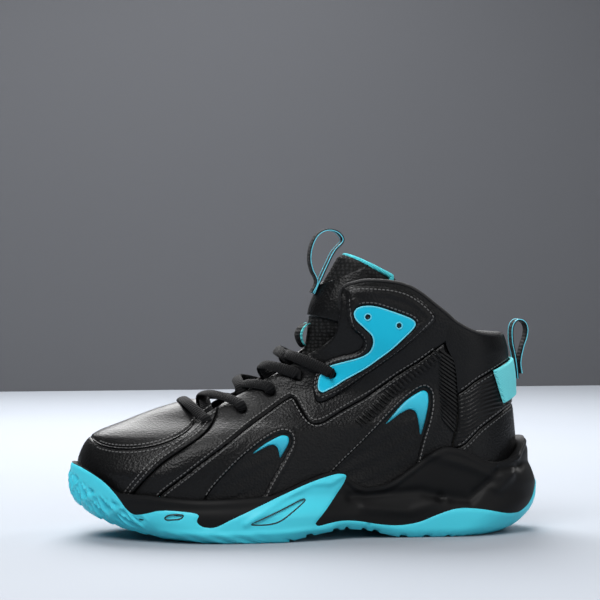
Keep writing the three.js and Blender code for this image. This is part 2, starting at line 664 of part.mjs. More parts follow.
// Lining of the quarters, in one piece round the heel.
const liningFront = alongFeather(vampBack[0][0] + 2);
const quarterLiningSpots = roundHeel((side) =>
  patchwork(side, {
    low: rail([...liningFront, ...alongFeather(-90, -50, -10, 30, 70, 110, 130), heelFeather]),
    high: rail([[-73, 76], [-68, 80], ...throatEdge, ...topline, ...collarBack.slice(1), heelEdge(129)]),
    start: rail([...liningFront, ...vampBack.slice(1, -1).map(([x, z]) => [x + 2.2, z]), [-73, 76]]),
    end: heelLine(heelFeather[1], 129),
  }, evenly(22).map((u) => 1 - (1 - u) ** 1.6), 9),
);
const counterSpots = roundHeel((side) =>
  patchwork(side, {
    low: rail([[82, feather(82)], [96, feather(96)], [118, feather(118)], heelFeather]),
    high: rail([[85, 62], [97, 84], [114, 97], heelEdge(102)]),
    start: straight([82, feather(82)], [85, 62]),
    end: heelLine(heelFeather[1], 102),
  }, evenly(8).map((u) => 1 - (1 - u) ** 1.6), 6),
);
const padTop = [
  [25, 160], [34, 162.4], [49, 161.4], [58.5, 159], [67, 154.5],
  [83, 142], [92, 134.5], [103.5, 129], [114, 127], heelEdge(126.6),
];
const padSpots = roundHeel((side) =>
  patchwork(side, {
    low: rail([[27, 122], [60, 114], [95, 107], heelEdge(104)]),
    high: rail(padTop),
    start: straight([27, 122], padTop[0]),
    end: heelLine(104, 126.6),
  }, evenly(14).map((u) => 1 - (1 - u) ** 1.8), 3),
);
const bandSpots = roundHeel((side) =>
  patchwork(side, {
    low: straight([124.5, 84.5], heelEdge(89.5)),
    high: straight([117, 106], heelEdge(113)),
    start: straight([124.5, 84.5], [117, 106]),
    end: heelLine(89.5, 113),
  }, evenly(6).map((u) => 1 - (1 - u) ** 2), 3),
);

// Tongue.
const tongueTop = 189; // ridge height that ends the tongue
const tongueStart = ridgeHeight(-92);
const tongueSpots = (from, to, edge, cols, rows) =>
  overRidge((side) => toRidge(side, edge, ridgeRail(from, to), evenly(cols), rows));
const tongueEdge = rail([[-82, 70], [-55, 74], [-20, 82], [18, 102], [46, 128], [54, 150], [56, 166]]);
const sideDrop = 2.8; // the tongue's sides stand further in
const tongueFace = (lift) => (_, v) => tongueOuter + lift - sideDrop * (2 * v - 1) ** 4;
// The tongue is thin at its root.
const tongueBack = (u, v) => tongueFace(-tongueThickness * (0.4 + 0.6 * ease(2 * u)))(u, v);
const tongueLayers = {
  foam: [tongueBack, tongueFace(0)],
  lining: [tongueFace(-tongueThickness - stand - 1), tongueFace(-tongueThickness - stand)],
};
const nearRidge = (from, to, width) => (u) => {
  const z = mix(from, to, u);
  return [frontX(z) + width, z];
};
layer.patch = [tongueOuter + gap, tongueOuter + gap + overlayThickness];
const tongueCols = 16;
const tongueRows = 6;
const foamSpots = tongueSpots(tongueStart, tongueTop, tongueEdge, tongueCols, tongueRows);
const patchSpots = foamSpots.slice(9, 15).map((column) => column.slice(tongueRows - 3, tongueRows + 4));
const keeperRange = [124, 137];
const keeperRise = laceDiameter + 1.6;
const keeperLift = (low) => (u) => tongueOuter + stand + low + keeperRise * Math.sin(Math.PI * u) ** 0.6;

// A webbing strip that stands on edge along a closed-up path in the shoe's centre plane.
function strap(path, y, width, thickness, steps) {
  const spots = path.map(([x, z]) => new THREE.Vector3(x, 0, z));
  const line = new THREE.CatmullRomCurve3(spots, false, "centripetal");
  const rings = Array.from({ length: steps + 1 }, (_, i) => {
    const [p, t] = [line.getPointAt(i / steps), line.getTangentAt(i / steps)];
    const normal = new THREE.Vector3(-t.z, 0, t.x).multiplyScalar(thickness / 2);
    const corner = ([a, b]) => p.clone().addScaledVector(normal, a).setY(y + (b * width) / 2);
    return [[-1, -1], [1, -1], [1, 1], [-1, 1]].map(corner);
  });
  return tubeOf(rings);
}

// A closed solid from equal rings of points, capped by fans.
function tubeOf(rings) {
  const m = rings[0].length;
  const faces = [];
  for (let k = 0; k < rings.length - 1; k++)
    for (let i = 0; i < m; i++) {
      const j = (i + 1) % m;
      faces.push([k * m + i, k * m + j, (k + 1) * m + j], [k * m + i, (k + 1) * m + j, (k + 1) * m + i]);
    }
  const last = (rings.length - 1) * m;
  for (let i = 1; i < m - 1; i++) faces.push([0, i + 1, i], [last, last + i, last + i + 1]);
  return meshGeometry(rings.flat(), faces);
}

// A round cord through spots [side, x, z, distance from the skin].
function cord(line, radius, rings, sides) {
  const frames = [];
  let up = new THREE.Vector3(0, 1, 0);
  for (let i = 0; i <= rings; i++) {
    const t = line.getTangent(i / rings);
    up = up.clone().addScaledVector(t, -up.dot(t)).normalize();
    const across = new THREE.Vector3().crossVectors(t, up);
    const p = line.getPoint(i / rings);
    frames.push(
      Array.from({ length: sides }, (_, k) => {
        const a = (2 * Math.PI * k) / sides;
        const risen = p.clone().addScaledVector(up, radius * Math.cos(a));
        return risen.addScaledVector(across, radius * Math.sin(a));
      }),
    );
  }
  return tubeOf(frames);
}

const inPlane = (z, out) => {
  const p = skin(1, frontX(z) - 1, z, out);
  return [p.x, p.z];
};
const patchFace = layer.patch[1];
const innerRun = patchFace + slack + webbing / 2;
const outerRun = innerRun + webbing + slack;
const hung = ([x, z], steps) => steps.map(([dx, dz]) => [x + dx, z + dz]);
const tongueLoopBend = [
  [5.6, 8], [1.1, 13.1], [-7.4, 15.1], [-15.4, 12], [-20.2, 4.5], [-21, -4.5], [-18.8, -11.5],
];
const tongueLoopPath = [
  inPlane(160, innerRun), inPlane(168, innerRun), inPlane(178, innerRun), inPlane(188, innerRun + 0.6),
  ...hung(inPlane(188, innerRun), tongueLoopBend),
  inPlane(166, outerRun), inPlane(160, outerRun),
];
const heelPoint = (z, out) => {
  const p = skin(1, backX(z) + 1, z, out);
  return [p.x, p.z];
};
const bandFace = layer.overlay[1];
const heelInner = bandFace + slack + webbing / 2;
const heelLoopBend = [[0.6, 10.6], [4.6, 15.1], [9.8, 14.1], [12.4, 9.1], [11.2, 2.6], [8, -3.4]];
const heelLoopPath = [
  heelPoint(99, heelInner), heelPoint(107, heelInner), heelPoint(115, heelInner), heelPoint(123, heelInner),
  ...hung(heelPoint(123, heelInner), heelLoopBend),
  heelPoint(108, heelInner + webbing + slack), heelPoint(99, heelInner + webbing + slack),
];

// Lace.
// From the toe up, each half runs over the eyestay into its hole, under it to the throat, and
// across the tongue to the other side. One half ends under the eyestay, the other passes the keeper.
const holeRadius = laceDiameter / 2 + eyeletClearance;
const acrossAt = [86, 93.5, 103.5, 113.5, 123]; // height of the centre line straight across each row
function towardsRidge(row, share) {
  const i = Math.min(laceRows.length - 2, Math.floor(row));
  const t = row - i;
  const hole = [mix(laceRows[i][0], laceRows[i + 1][0], t), mix(laceRows[i][1], laceRows[i + 1][1], t)];
  const top = mix(acrossAt[i], acrossAt[i + 1], t);
  const s = share ** 1.7;
  return [mix(hole[0], frontX(top), s), mix(hole[1], top, s)];
}
function laceHalf(first) {
  const path = [];
  const crossing = laceUnder + (first > 0 ? laceDiameter + gap : 0);
  laceRows.forEach(([x, z], i) => {
    const side = i % 2 === 0 ? first : -first;
    const raise = i === laceRows.length - 1 ? layer.plate[1] : 0;
    path.push([side, ...towardsRidge(i, 0.42), laceOver + raise * 0.6]);
    path.push([side, x - 0.6, z + 1, laceOver + raise - 0.5]);
    path.push([side, x, z, layer.backing[0] + raise * 0.5]);
    path.push([side, x + 0.4, z + 0.4, laceUnder + 0.4]);
    if (i === laceRows.length - 1) return;
    path.push([side, ...towardsRidge(i + 0.3, 0.55), laceUnder]);
    path.push([side, ...towardsRidge(i + 0.45, 0.92), crossing]);
    path.push([-side, ...towardsRidge(i + 0.58, 0.9), crossing]);
  });
  return path;
}
const lastSide = (first) => (laceRows.length % 2 === 1 ? first : -first);
const tail = (side) => [[side, 15, 97, laceUnder], [side, 13, 87, laceUnder], [side, 9, 78, laceUnder]];
// Past the last row one half goes through the keeper to the other side, and both ends are tucked in.
const keeperMid = (keeperRange[0] + keeperRange[1]) / 2;
const keeperDepth = tongueOuter + stand + laceDiameter / 2;
const throughKeeper = (side) => [
  [side, 13, 112, laceUnder],
  [side, frontX(keeperMid) + 8, keeperMid - 2, (laceUnder + keeperDepth) / 2 + 1],
  [side, frontX(keeperMid) + 1, keeperMid, keeperDepth],
  [-side, frontX(keeperMid) + 1, keeperMid, keeperDepth],
  [-side, frontX(keeperMid) + 8, keeperMid - 2, (laceUnder + keeperDepth) / 2 + 1],
  [-side, 17, 116, laceUnder],
];
const barSpots = [
  [1, ...towardsRidge(0, 0.86), laceOver + 1], [-1, ...towardsRidge(0, 0.86), laceOver + 1],
];
const lacePath = [
  ...[...laceHalf(1), ...tail(lastSide(1))].reverse(),
  ...barSpots,
  ...laceHalf(-1),
  ...tail(lastSide(-1)),
];
const laceSpots = lacePath.map((spot) => skin(...spot));
const laceLine = new THREE.CatmullRomCurve3(laceSpots, false, "centripetal");
const laceRings = Math.round((lacePath.length - 1) * 2.2);
const laceSides = 5;
const laceRoomAround = 0.65; // cut round the lace where it passes a panel
const lace = cord(laceLine, laceDiameter / 2, laceRings, laceSides);
const laceRoom = solid(cord(laceLine, laceDiameter / 2 + laceRoomAround, laceRings, laceSides));

// Nodes.
const meshes = [];
const colours = {
  foam: 0x1b1c1d, rubber: 0x2fb4cf, leather: 0x141415, textile: 0x101011,
  plate: 0x14b6d6, cyan: 0x57cfdc, board: 0x9a8f7c,
};
function add(name, colour, geometry, roughness = 0.7) {
  const material = new THREE.MeshStandardMaterial({ color: colours[colour], roughness, metalness: 0 });
  const mesh = new THREE.Mesh(geometry, material);
  mesh.name = name;
  meshes.push(mesh);
}
const whole = (made) => made.decompose().sort((a, b) => b.volume() - a.volume())[0];

function pair(name, colour, make, roughness) {
  add(name + "_lateral", colour, make(-1), roughness);
  add(name + "_medial", colour, make(1), roughness);
}
const punched = (side, spots, made) =>
  spots.reduce((rest, spot) => rest.subtract(punch(side, spot, holeRadius)), made);
const bothPunched = (spots, made) => punched(-1, spots, punched(1, spots, made));
const clear = (made) => geometryOf(whole(made.subtract(laceRoom)));
const cutPatch = (side, outline, depths) => geometryOf(whole(patch(side, outline, depths)));

add("outsole", "rubber", geometryOf(whole(outsole)), 0.6);
add("midsole", "foam", geometryOf(whole(midsole)), 0.75);
add("shank_plate", "foam", shankPocket(0), 0.5);
add("insole_board", "board", insoleBoard, 0.9);
add("sockliner", "cyan", sockliner, 0.9);
add("vamp_plug", "leather", clear(solid(sheet(plugSpots, layer.panel))), 0.55);
const toeWrap = solid(sheet(wrapSpots(seam / 2), layer.panel));
add("toe_wrap", "leather", clear(bothPunched([laceRows[0]], toeWrap)), 0.55);
add("toe_puff", "board", sheet(toePuff(), layer.backing), 0.8);
add("vamp_lining", "textile", sheet(vampLiningSpots, layer.lining), 0.9);
pair("eyestay", "leather", (side) => {
  const made = solid(sheet(eyestaySpots(side), layer.panel));
  return clear(punched(side, laceRows.slice(1), made));
}, 0.55);
pair("quarter", "leather", (side) => {
  const made = solid(sheet(quarterSpots(side), layer.panel));
  return geometryOf(whole(made.subtract(prism(side, frontWindow)).subtract(prism(side, rearWindow))));
}, 0.55);
const windowLap = 3.5; // backing behind the leather round each window
const windowPanel = (window) => (side) => cutPatch(side, grown(window, windowLap), layer.backing);
pair("front_window_panel", "textile", windowPanel(frontWindow), 0.8);
pair("rear_window_panel", "textile", windowPanel(rearWindow), 0.8);
pair("front_fang", "plate", (side) => cutPatch(side, frontFang, layer.fang), 0.5);
pair("rear_fang", "plate", (side) => cutPatch(side, rearFang, layer.fang), 0.5);
const half = seam / 2;
const foxing = heelBand(heelBase, lowSeam(-half), 0, splitLow, 5);
const ribbed = heelBand(lowSeam(half), highSeam(-half), splitLow, splitHigh, 3);
const heelTop = heelBand(highSeam(half), collarRear, splitHigh, 1, 3);
add("heel_foxing", "leather", sheet(foxing, layer.panel), 0.55);
add("heel_panel", "leather", sheet(ribbed, layer.panel), 0.55);
add("heel_collar", "leather", sheet(heelTop, layer.panel), 0.55);
add("heel_counter", "board", sheet(counterSpots, layer.backing), 0.8);
const quarterLining = solid(sheet(quarterLiningSpots, layer.lining));
add("quarter_lining", "textile", clear(bothPunched(laceRows, quarterLining)), 0.9);
add("collar_pad", "textile", sheet(padSpots, layer.padding), 0.95);
const ankleHole = laceRows[4];
pair("ankle_overlay", "textile", (side) => {
  const made = patch(side, ankleOverlay, layer.overlay);
  return clear(punched(side, [ankleHole], made));
}, 0.6);
pair("ankle_plate", "plate", (side) => {
  const made = patch(side, anklePlate, layer.plate);
  return clear(punched(side, [ankleHole, ...spareHoles], made));
}, 0.4);
add("heel_band", "cyan", sheet(bandSpots, layer.overlay), 0.85);
add("heel_loop", "textile", strap(heelLoopPath, 0, loopWidth, webbing, 26), 0.85);
add("tongue", "textile", sheet(foamSpots, tongueLayers.foam), 0.95);
add("tongue_patch", "leather", sheet(patchSpots, layer.patch), 0.55);
add("tongue_lining", "cyan", sheet(foamSpots.slice(10, -1), tongueLayers.lining), 0.9);
add("tongue_loop", "textile", strap(tongueLoopPath, 0, loopWidth, webbing, 30), 0.85);
const keeperSpots = tongueSpots(...keeperRange, nearRidge(...keeperRange, 3.4), 8, 2);
add("lace_keeper", "textile", sheet(keeperSpots, [keeperLift(0), keeperLift(webbing)]), 0.85);
add("lace", "textile", lace, 0.9);

const shoe = new THREE.Group();
shoe.add(...meshes);
export default shoe;
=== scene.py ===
import bpy
import math
import numpy as np
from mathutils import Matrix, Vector


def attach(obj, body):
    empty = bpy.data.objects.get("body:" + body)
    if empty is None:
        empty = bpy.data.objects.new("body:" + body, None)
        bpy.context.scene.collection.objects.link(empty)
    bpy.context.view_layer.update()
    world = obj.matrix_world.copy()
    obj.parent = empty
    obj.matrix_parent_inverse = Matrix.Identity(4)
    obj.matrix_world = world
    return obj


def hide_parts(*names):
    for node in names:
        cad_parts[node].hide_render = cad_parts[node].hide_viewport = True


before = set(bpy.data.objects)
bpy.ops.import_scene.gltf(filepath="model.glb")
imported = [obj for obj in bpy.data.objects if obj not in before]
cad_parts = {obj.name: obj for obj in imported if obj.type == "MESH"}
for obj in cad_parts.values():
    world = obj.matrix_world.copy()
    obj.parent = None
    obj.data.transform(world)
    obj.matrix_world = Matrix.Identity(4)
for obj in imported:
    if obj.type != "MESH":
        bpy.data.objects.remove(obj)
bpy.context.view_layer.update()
mm = 0.001

# camera, floor and light
view = {"azimuth": 10, "distance": 1400, "height": 180, "lens": 128.9, "pitch": 1.165, "aside": 0.17}
a = math.radians(view["azimuth"])
cam = bpy.data.objects.new("camera", bpy.data.cameras.new("camera"))
bpy.context.collection.objects.link(cam)
cam.data.lens = view["lens"]
cam.data.clip_start, cam.data.clip_end = 0.05, 50
cam.location = (-math.sin(a) * view["distance"] * mm, -math.cos(a) * view["distance"] * mm, view["height"] * mm)
cam.rotation_euler = (math.radians(90 - view["pitch"]), 0, math.radians(-view["azimuth"] + view["aside"]))
bpy.context.scene.camera = cam
print("camera set")


# A socket that adds Math nodes when it is used in an expression.
class Value:
    def __init__(self, tree, socket):
        self.tree, self.socket = tree, socket

    def mathNode(self, operation, *values):
        return self.tree.node("ShaderNodeMath", {"operation": operation}, dict(enumerate(values)))

    def __add__(self, other): return self.mathNode("ADD", self, other)
    def __radd__(self, other): return self.mathNode("ADD", other, self)
    def __sub__(self, other): return self.mathNode("SUBTRACT", self, other)
    def __rsub__(self, other): return self.mathNode("SUBTRACT", other, self)
    def __mul__(self, other): return self.mathNode("MULTIPLY", self, other)
    def __rmul__(self, other): return self.mathNode("MULTIPLY", other, self)
    def __truediv__(self, other): return self.mathNode("DIVIDE", self, other)
    def __gt__(self, other): return self.mathNode("GREATER_THAN", self, other)
    def sin(self): return self.mathNode("SINE", self)
    def abs(self): return self.mathNode("ABSOLUTE", self)


# One material; node() adds any node from its type, settings and inputs.
class Finish:
    def __init__(self, name):
        self.material = bpy.data.materials.new(name)
        self.material.use_nodes = True
        self.tree = self.material.node_tree
        self.shader = self.tree.nodes["Principled BSDF"]
        self.coords = self.tree.nodes.new("ShaderNodeTexCoord")

    def put(self, socket, value):
        if isinstance(value, Value):
            self.tree.links.new(value.socket, socket)
        else:
            socket.default_value = value

    def node(self, kind, settings=None, inputs=None, out=0):
        n = self.tree.nodes.new(kind)
        for key, value in (settings or {}).items():
            if key == "stops":
                ramp = n.color_ramp
                for i, (at, colour) in enumerate(value):
                    stop = ramp.elements[i] if i < len(ramp.elements) else ramp.elements.new(at)
                    stop.position, stop.color = at, colour
            else:
                setattr(n, key, value)
        for key, value in (inputs or {}).items():
            self.put(n.inputs[key], value)
        return Value(self, n.outputs[out])

    def place(self, source="Object"):
        return Value(self, self.coords.outputs[source])

    def part(self, vector, axis):
        n = self.tree.nodes.new("ShaderNodeSeparateXYZ")
        self.put(n.inputs[0], vector)
        return Value(self, n.outputs[axis])

    def noise(self, scale, detail=3):
        return self.node("ShaderNodeTexNoise", None, {"Vector": self.place(), "Scale": scale, "Detail": detail}, "Fac")

    def cells(self, scale, feature, **fixed):
        return self.node("ShaderNodeTexVoronoi", {"feature": feature},
            {"Vector": self.place(), "Scale": scale, **fixed}, "Distance")

    def mix(self, factor, first, second):
        n = self.tree.nodes.new("ShaderNodeMix")
        n.data_type = "RGBA"
        self.put(n.inputs[0], factor)
        self.put(n.inputs[6], first)
        self.put(n.inputs[7], second)
        return Value(self, n.outputs[2])

    def surface(self, colour, roughness, height=None, strength=0.3, depth=0.0004, **fixed):
        self.put(self.shader.inputs["Base Color"], colour)
        self.put(self.shader.inputs["Roughness"], roughness)
        for key, value in fixed.items():
            self.shader.inputs[key.replace("_", " ")].default_value = value
        if height is not None:
            bump = self.node("ShaderNodeBump", None, {"Strength": strength, "Distance": depth, "Height": height})
            self.put(self.shader.inputs["Normal"], bump)
        return self.material


def rgb(r, g, b): return (r, g, b, 1)


black = {"leather": rgb(0.0030, 0.0030, 0.0032), "worn": rgb(0.0055, 0.0055, 0.0058),
    "cloth": rgb(0.0034, 0.0034, 0.0036), "foam": rgb(0.0038, 0.0038, 0.0040)}
cyan = {"rubber": rgb(0.065, 0.66, 0.79), "plate": rgb(0.003, 0.50, 0.70), "pale": rgb(0.12, 0.70, 0.72),
    "deep": rgb(0.02, 0.36, 0.48)}


def leatherFinish(name, grain, roughness, strength):
    f = Finish(name)
    pebbles = f.cells(grain, "SMOOTH_F1", Smoothness=0.35)
    fine = f.noise(grain * 2.2, 4)
    folds = f.noise(28, 2)
    colour = f.mix(f.noise(60, 3), black["leather"], black["worn"])
    return f.surface(colour, roughness + 0.12 * f.noise(90, 3) - 0.05 * pebbles,
        0.8 * pebbles + 0.4 * fine + 1.1 * folds, strength, 0.0007, Specular_IOR_Level=0.2)


def clothFinish(name, colour, other, pitch, strength=0.5, roughness=0.85, source="Object"):
    f = Finish(name)
    where = f.place(source=source)
    k = 2 * math.pi / pitch
    across = ((f.part(where, 0) + f.part(where, 1)) * k).sin()
    up = (f.part(where, 2 if source == "Object" else 1) * k).sin()
    weave = across * up
    return f.surface(f.mix(0.5 + 0.5 * weave, colour, other), roughness, weave + 0.4 * f.noise(900, 2), strength,
        0.0003, Specular_IOR_Level=0.25)


pebbled = leatherFinish("pebbledLeather", 640, 0.34, 0.42)
smoothHide = leatherFinish("smoothLeather", 800, 0.31, 0.22)
lining = clothFinish("liningCloth", black["cloth"], rgb(0.016, 0.016, 0.017), 0.0014)
collarCloth = clothFinish("collarCloth", black["cloth"], rgb(0.014, 0.014, 0.015), 0.0009, 0.3, 0.7)
cyanCloth = clothFinish("cyanCloth", cyan["deep"], cyan["pale"], 0.0016)
bandCloth = clothFinish("bandWebbing", rgb(0.10, 0.60, 0.66), rgb(0.24, 0.86, 0.90), 0.0018, 0.7, 0.75)


def meshFinish():
    f = Finish("airMesh")
    holes = f.cells(420, "F1", Randomness=0.25)
    return f.surface(f.mix(holes > 0.42, rgb(0.013, 0.013, 0.0135), rgb(0.001, 0.001, 0.001)), 0.8, 1 - holes, 0.9,
        0.0008, Specular_IOR_Level=0.3)


def foamFinish():
    f = Finish("midsoleFoam")
    return f.surface(f.mix(f.noise(40, 3), black["foam"], rgb(0.0060, 0.0060, 0.0063)), 0.46 + 0.12 * f.noise(120, 3),
        f.noise(2600, 2), 0.10, 0.0002, Specular_IOR_Level=0.16)


def rubberFinish(name, colour, darker, gloss=0.4):
    f = Finish(name)
    return f.surface(f.mix(f.noise(35, 3), colour, darker), 0.42 + 0.14 * f.noise(200, 3), f.noise(2200, 2), 0.08,
        0.0002, Specular_IOR_Level=gloss)


def webbingFinish(name, middle, edge, edgeShare, ribs):
    f = Finish(name)
    uv = f.place(source="UV")
    across, along = f.part(uv, 0), f.part(uv, 1)
    rib = (along * ribs).sin()
    thread = (across * 60).sin()
    side = (across - 0.5).abs() > 0.5 - edgeShare
    return f.surface(f.mix(side, middle, edge), 0.8, rib * 0.7 + thread * 0.4, 0.7, 0.0004, Specular_IOR_Level=0.25)


airMesh = meshFinish()
foam = foamFinish()
rubber = rubberFinish("cyanRubber", cyan["rubber"], rgb(0.055, 0.60, 0.75))
plate = rubberFinish("cyanPlate", cyan["plate"], rgb(0.004, 0.44, 0.64), 0.22)
paleEdge = rubberFinish("paleEdge", rgb(0.16, 0.68, 0.82), rgb(0.12, 0.60, 0.76))
# Near-black plastic for the shank plate; the same finish colours the beads of painted shade in the sole slots and spare
# lace holes.
darkPlasticAndPaintedShade = rubberFinish("darkPlasticAndPaintedShade", rgb(0.012, 0.012, 0.013), rgb(0.018, 0.018, 0.019))
board = clothFinish("boardFibre", rgb(0.05, 0.045, 0.04), rgb(0.065, 0.06, 0.05), 0.003, 0.2)
loopWeb = webbingFinish("loopWebbing", rgb(0.003, 0.003, 0.0035), rgb(0.004, 0.004, 0.0045), 0.13, 2600)
keeperWeb = webbingFinish("keeperWebbing", rgb(0.003, 0.003, 0.0035), cyan["pale"], 0.04, 2600)
laceWeb = webbingFinish("laceBraid", rgb(0.003, 0.003, 0.0035), rgb(0.006, 0.006, 0.0065), 0.1, 4200)
thread = rubberFinish("thread", rgb(0.105, 0.104, 0.102), rgb(0.075, 0.074, 0.073))
print("finishes made")


# curves
# Smooth function through points that never overshoots: cubic pieces, slopes the harmonic mean of their neighbours'.
def curve(points):
    xs, ys = np.array(points, float).T
    h = np.diff(xs)
    rise = np.diff(ys) / h
    total = rise[:-1] + rise[1:]
    inner = np.where(rise[:-1] * rise[1:] > 0, 2 * rise[:-1] * rise[1:] / np.where(total == 0, 1, total), 0)
    slope = np.concatenate([rise[:1], inner, rise[-1:]])

    def at(x):
        x = np.asarray(x, float)
        i = np.clip(np.searchsorted(xs, x, side="right") - 1, 0, len(xs) - 2)
        t = np.clip((x - xs[i]) / h[i], 0, 1)
        b = 1 - t
        y = b * b * (1 + 2 * t) * ys[i] + t * t * (1 + 2 * b) * ys[i + 1]
        y = y + b * b * t * h[i] * slope[i] - t * t * b * h[i] * slope[i + 1]
        return y + np.minimum(x - xs[0], 0) * slope[0] + np.maximum(x - xs[-1], 0) * slope[-1]

    return at


def mix(a, b, t): return a + (b - a) * t


def ease(t):
    t = np.clip(t, 0, 1)
    return t * t * (3 - 2 * t)


# Uniform Catmull-Rom line through points, then evenly spaced along its length.
def spline(points, count=300, closed=False):
    p = np.array(points, float)
    p = np.vstack([p[-1:], p, p[:2]]) if closed else np.vstack([p[:1], p, p[-1:]])
    t = np.linspace(0, 1, 24, endpoint=False)[:, None, None]
    a, b, c, d = p[:-3], p[1:-2], p[2:-1], p[3:]
    q = 0.5 * (2 * b + (c - a) * t + (2 * a - 5 * b + 4 * c - d) * t**2 + (3 * b - a - 3 * c + d) * t**3)
    q = q.transpose(1, 0, 2).reshape(-1, p.shape[1])
    if not closed:
        q = np.vstack([q, p[-1:]])
    return resample(q, count)


def lengthAlong(points):
    return np.concatenate([[0], np.cumsum(np.linalg.norm(np.diff(points, axis=0), axis=1))])


def resample(q, count):
    s = lengthAlong(q)
    at = np.linspace(0, s[-1], count)
    return np.stack([np.interp(at, s, q[:, k]) for k in range(q.shape[1])], 1)


def rail(points):
    line = spline(points, 600)
    share = np.linspace(0, 1, len(line))
    return lambda u: np.stack([np.interp(u, share, line[:, k]) for k in (0, 1)], -1)


# A closed outline with its corners cut a little, twice.
def softened(points, rounds=2, cut=0.22):
    p = np.array(points, float)
    for _ in range(rounds):
        q = np.roll(p, -1, 0)
        p = np.stack([mix(p, q, cut), mix(p, q, 1 - cut)], 1).reshape(-1, 2)
    return p


# A closed outline moved out by a distance.
def grownBy(points, distance):
    p = np.array(points, float)
    before, after = np.roll(p, 1, 0), np.roll(p, -1, 0)
    area = np.sum(p[:, 0] * after[:, 1] - after[:, 0] * p[:, 1])
    d = after - before
    d /= np.linalg.norm(d, axis=1)[:, None]
    return p + np.sign(area) * distance * np.stack([d[:, 1], -d[:, 0]], 1)


# Distance from points to a broken line, and the nearest point on it.
def distanceTo(px, pz, line, closed=False):
    ends = np.roll(line, -1, 0) if closed else line[1:]
    starts = line if closed else line[:-1]
    best = np.full(px.shape, 1e9)
    near = np.zeros(px.shape + (2,))
    for k in range(0, len(starts), 40):
        s, e = starts[k:k + 40], ends[k:k + 40]
        d = e - s
        p = np.stack([px, pz], -1)[..., None, :]
        t = np.clip(((p - s) * d).sum(-1) / np.maximum((d * d).sum(-1), 1e-9), 0, 1)
        q = s + t[..., None] * d
        r = np.linalg.norm(p - q, axis=-1)
        i = r.argmin(-1)
        r = np.take_along_axis(r, i[..., None], -1)[..., 0]
        q = np.take_along_axis(q, i[..., None, None], -2)[..., 0, :]
        closer = r < best
        best = np.where(closer, r, best)
        near = np.where(closer[..., None], q, near)
    return best, near


# Positive inside a closed outline, negative outside.
def insideBy(px, pz, line):
    d, near = distanceTo(px, pz, line, True)
    x1, z1 = line.T
    x2, z2 = np.roll(line, -1, 0).T
    odd = np.zeros(px.shape, int)
    for k in range(len(line)):
        crosses = (z1[k] > pz) != (z2[k] > pz)
        with np.errstate(divide="ignore", invalid="ignore"):
            odd += crosses & (px < (x2[k] - x1[k]) * (pz - z1[k]) / (z2[k] - z1[k]) + x1[k])
    return np.where(odd % 2 == 1, d, -d), near


# skin of the lasted upper
frontX = curve([(15, -140), (30, -145.5), (40, -147.2), (47, -147.5), (56, -145), (64, -140), (68, -133), (72, -122),
    (79, -104), (84, -89), (88, -74), (96, -50), (109.5, -28), (124, -14.5), (132, -13), (140, -12), (152, -9),
    (167, -2), (181, 6), (195, 14)])
backX = curve([(15, 138), (40, 140), (60, 139), (80, 137.5), (100, 136.5), (118, 134), (130, 131), (136, 129.5),
    (150, 125), (195, 108)])
planLateral = curve([(-153, 44), (-102, 46.5), (-62, 47.5), (-42, 46), (-2, 39), (38, 34.5), (78, 34.5), (108, 35.5),
    (153, 35.5)])
planMedial = curve([(-153, 41), (-102, 44), (-67, 45.5), (-32, 41), (-2, 36.5), (28, 33.5), (78, 33.5), (108, 34.5),
    (153, 34.5)])
shaftWidth = curve([(60, 36), (110, 33.5), (140, 35.5), (170, 34.5), (195, 34)])
frontRound = curve([(20, 58), (42, 58), (50, 75), (60, 100), (70, 150), (78, 220), (90, 235), (100, 185), (115, 105),
    (130, 62), (150, 48), (195, 44)])
backRound = curve([(20, 46), (60, 45), (80, 42), (100, 40), (120, 37), (150, 34), (195, 34)])
midline = curve([(-153, 9), (-112, 6), (-72, 2.5), (-32, 0.5), (-2, 0), (153, 0)])
soleFrontX = curve([(0, -98), (2, -112), (5, -124), (9, -134), (14, -142), (20, -148), (27, -151.5), (36, -153),
    (43, -152.4), (53, -150.4)])
soleBackX = curve([(0, 126), (5, 138), (10, 144.5), (16, 149.5), (24, 152.6), (31, 153), (40, 150.5), (46, 148),
    (52, 147.8), (58, 146.5), (62, 144.5), (67, 142)])
soleLateral = curve([(-153, 46), (-112, 49.5), (-62, 55), (-32, 54), (-2, 48.5), (28, 42.5), (58, 41), (98, 43),
    (153, 43)])
soleMedial = curve([(-153, 44), (-112, 48), (-72, 52.5), (-32, 47), (-2, 42), (28, 39), (58, 38.5), (98, 41),
    (153, 41)])
groundZ = curve([(-153, 25), (-148, 21.5), (-140, 15.5), (-125, 9), (-110, 4.8), (-95, 1.8), (-78, 0), (-28, 0),
    (-10, 2.8), (6, 5.6), (18, 6.8), (30, 6), (44, 3), (57, 0.3), (64, 0), (120, 0), (132, 1), (141, 4), (148, 9.5),
    (153, 16)])
featherZ = curve([(-147, 30), (-130, 22), (-110, 17), (-80, 15), (-50, 15), (-10, 18), (30, 22), (70, 25), (110, 26),
    (143, 27)])


def rounded(u): return np.sqrt(np.maximum(0, 1 - (1 - np.clip(u, 0, 1)) ** 2.2))


# Half width of the lasted upper: the foot's plan low down, the shaft's higher up, rounded off at toe and heel.
def halfWidth(side, x, z):
    foot = np.where(side < 0, planLateral(x), planMedial(x))
    wide = mix(foot, shaftWidth(z), ease((z - 45) / 65)) * rounded((x - frontX(z)) / frontRound(z))
    return wide * rounded((backX(z) - x) / backRound(z))


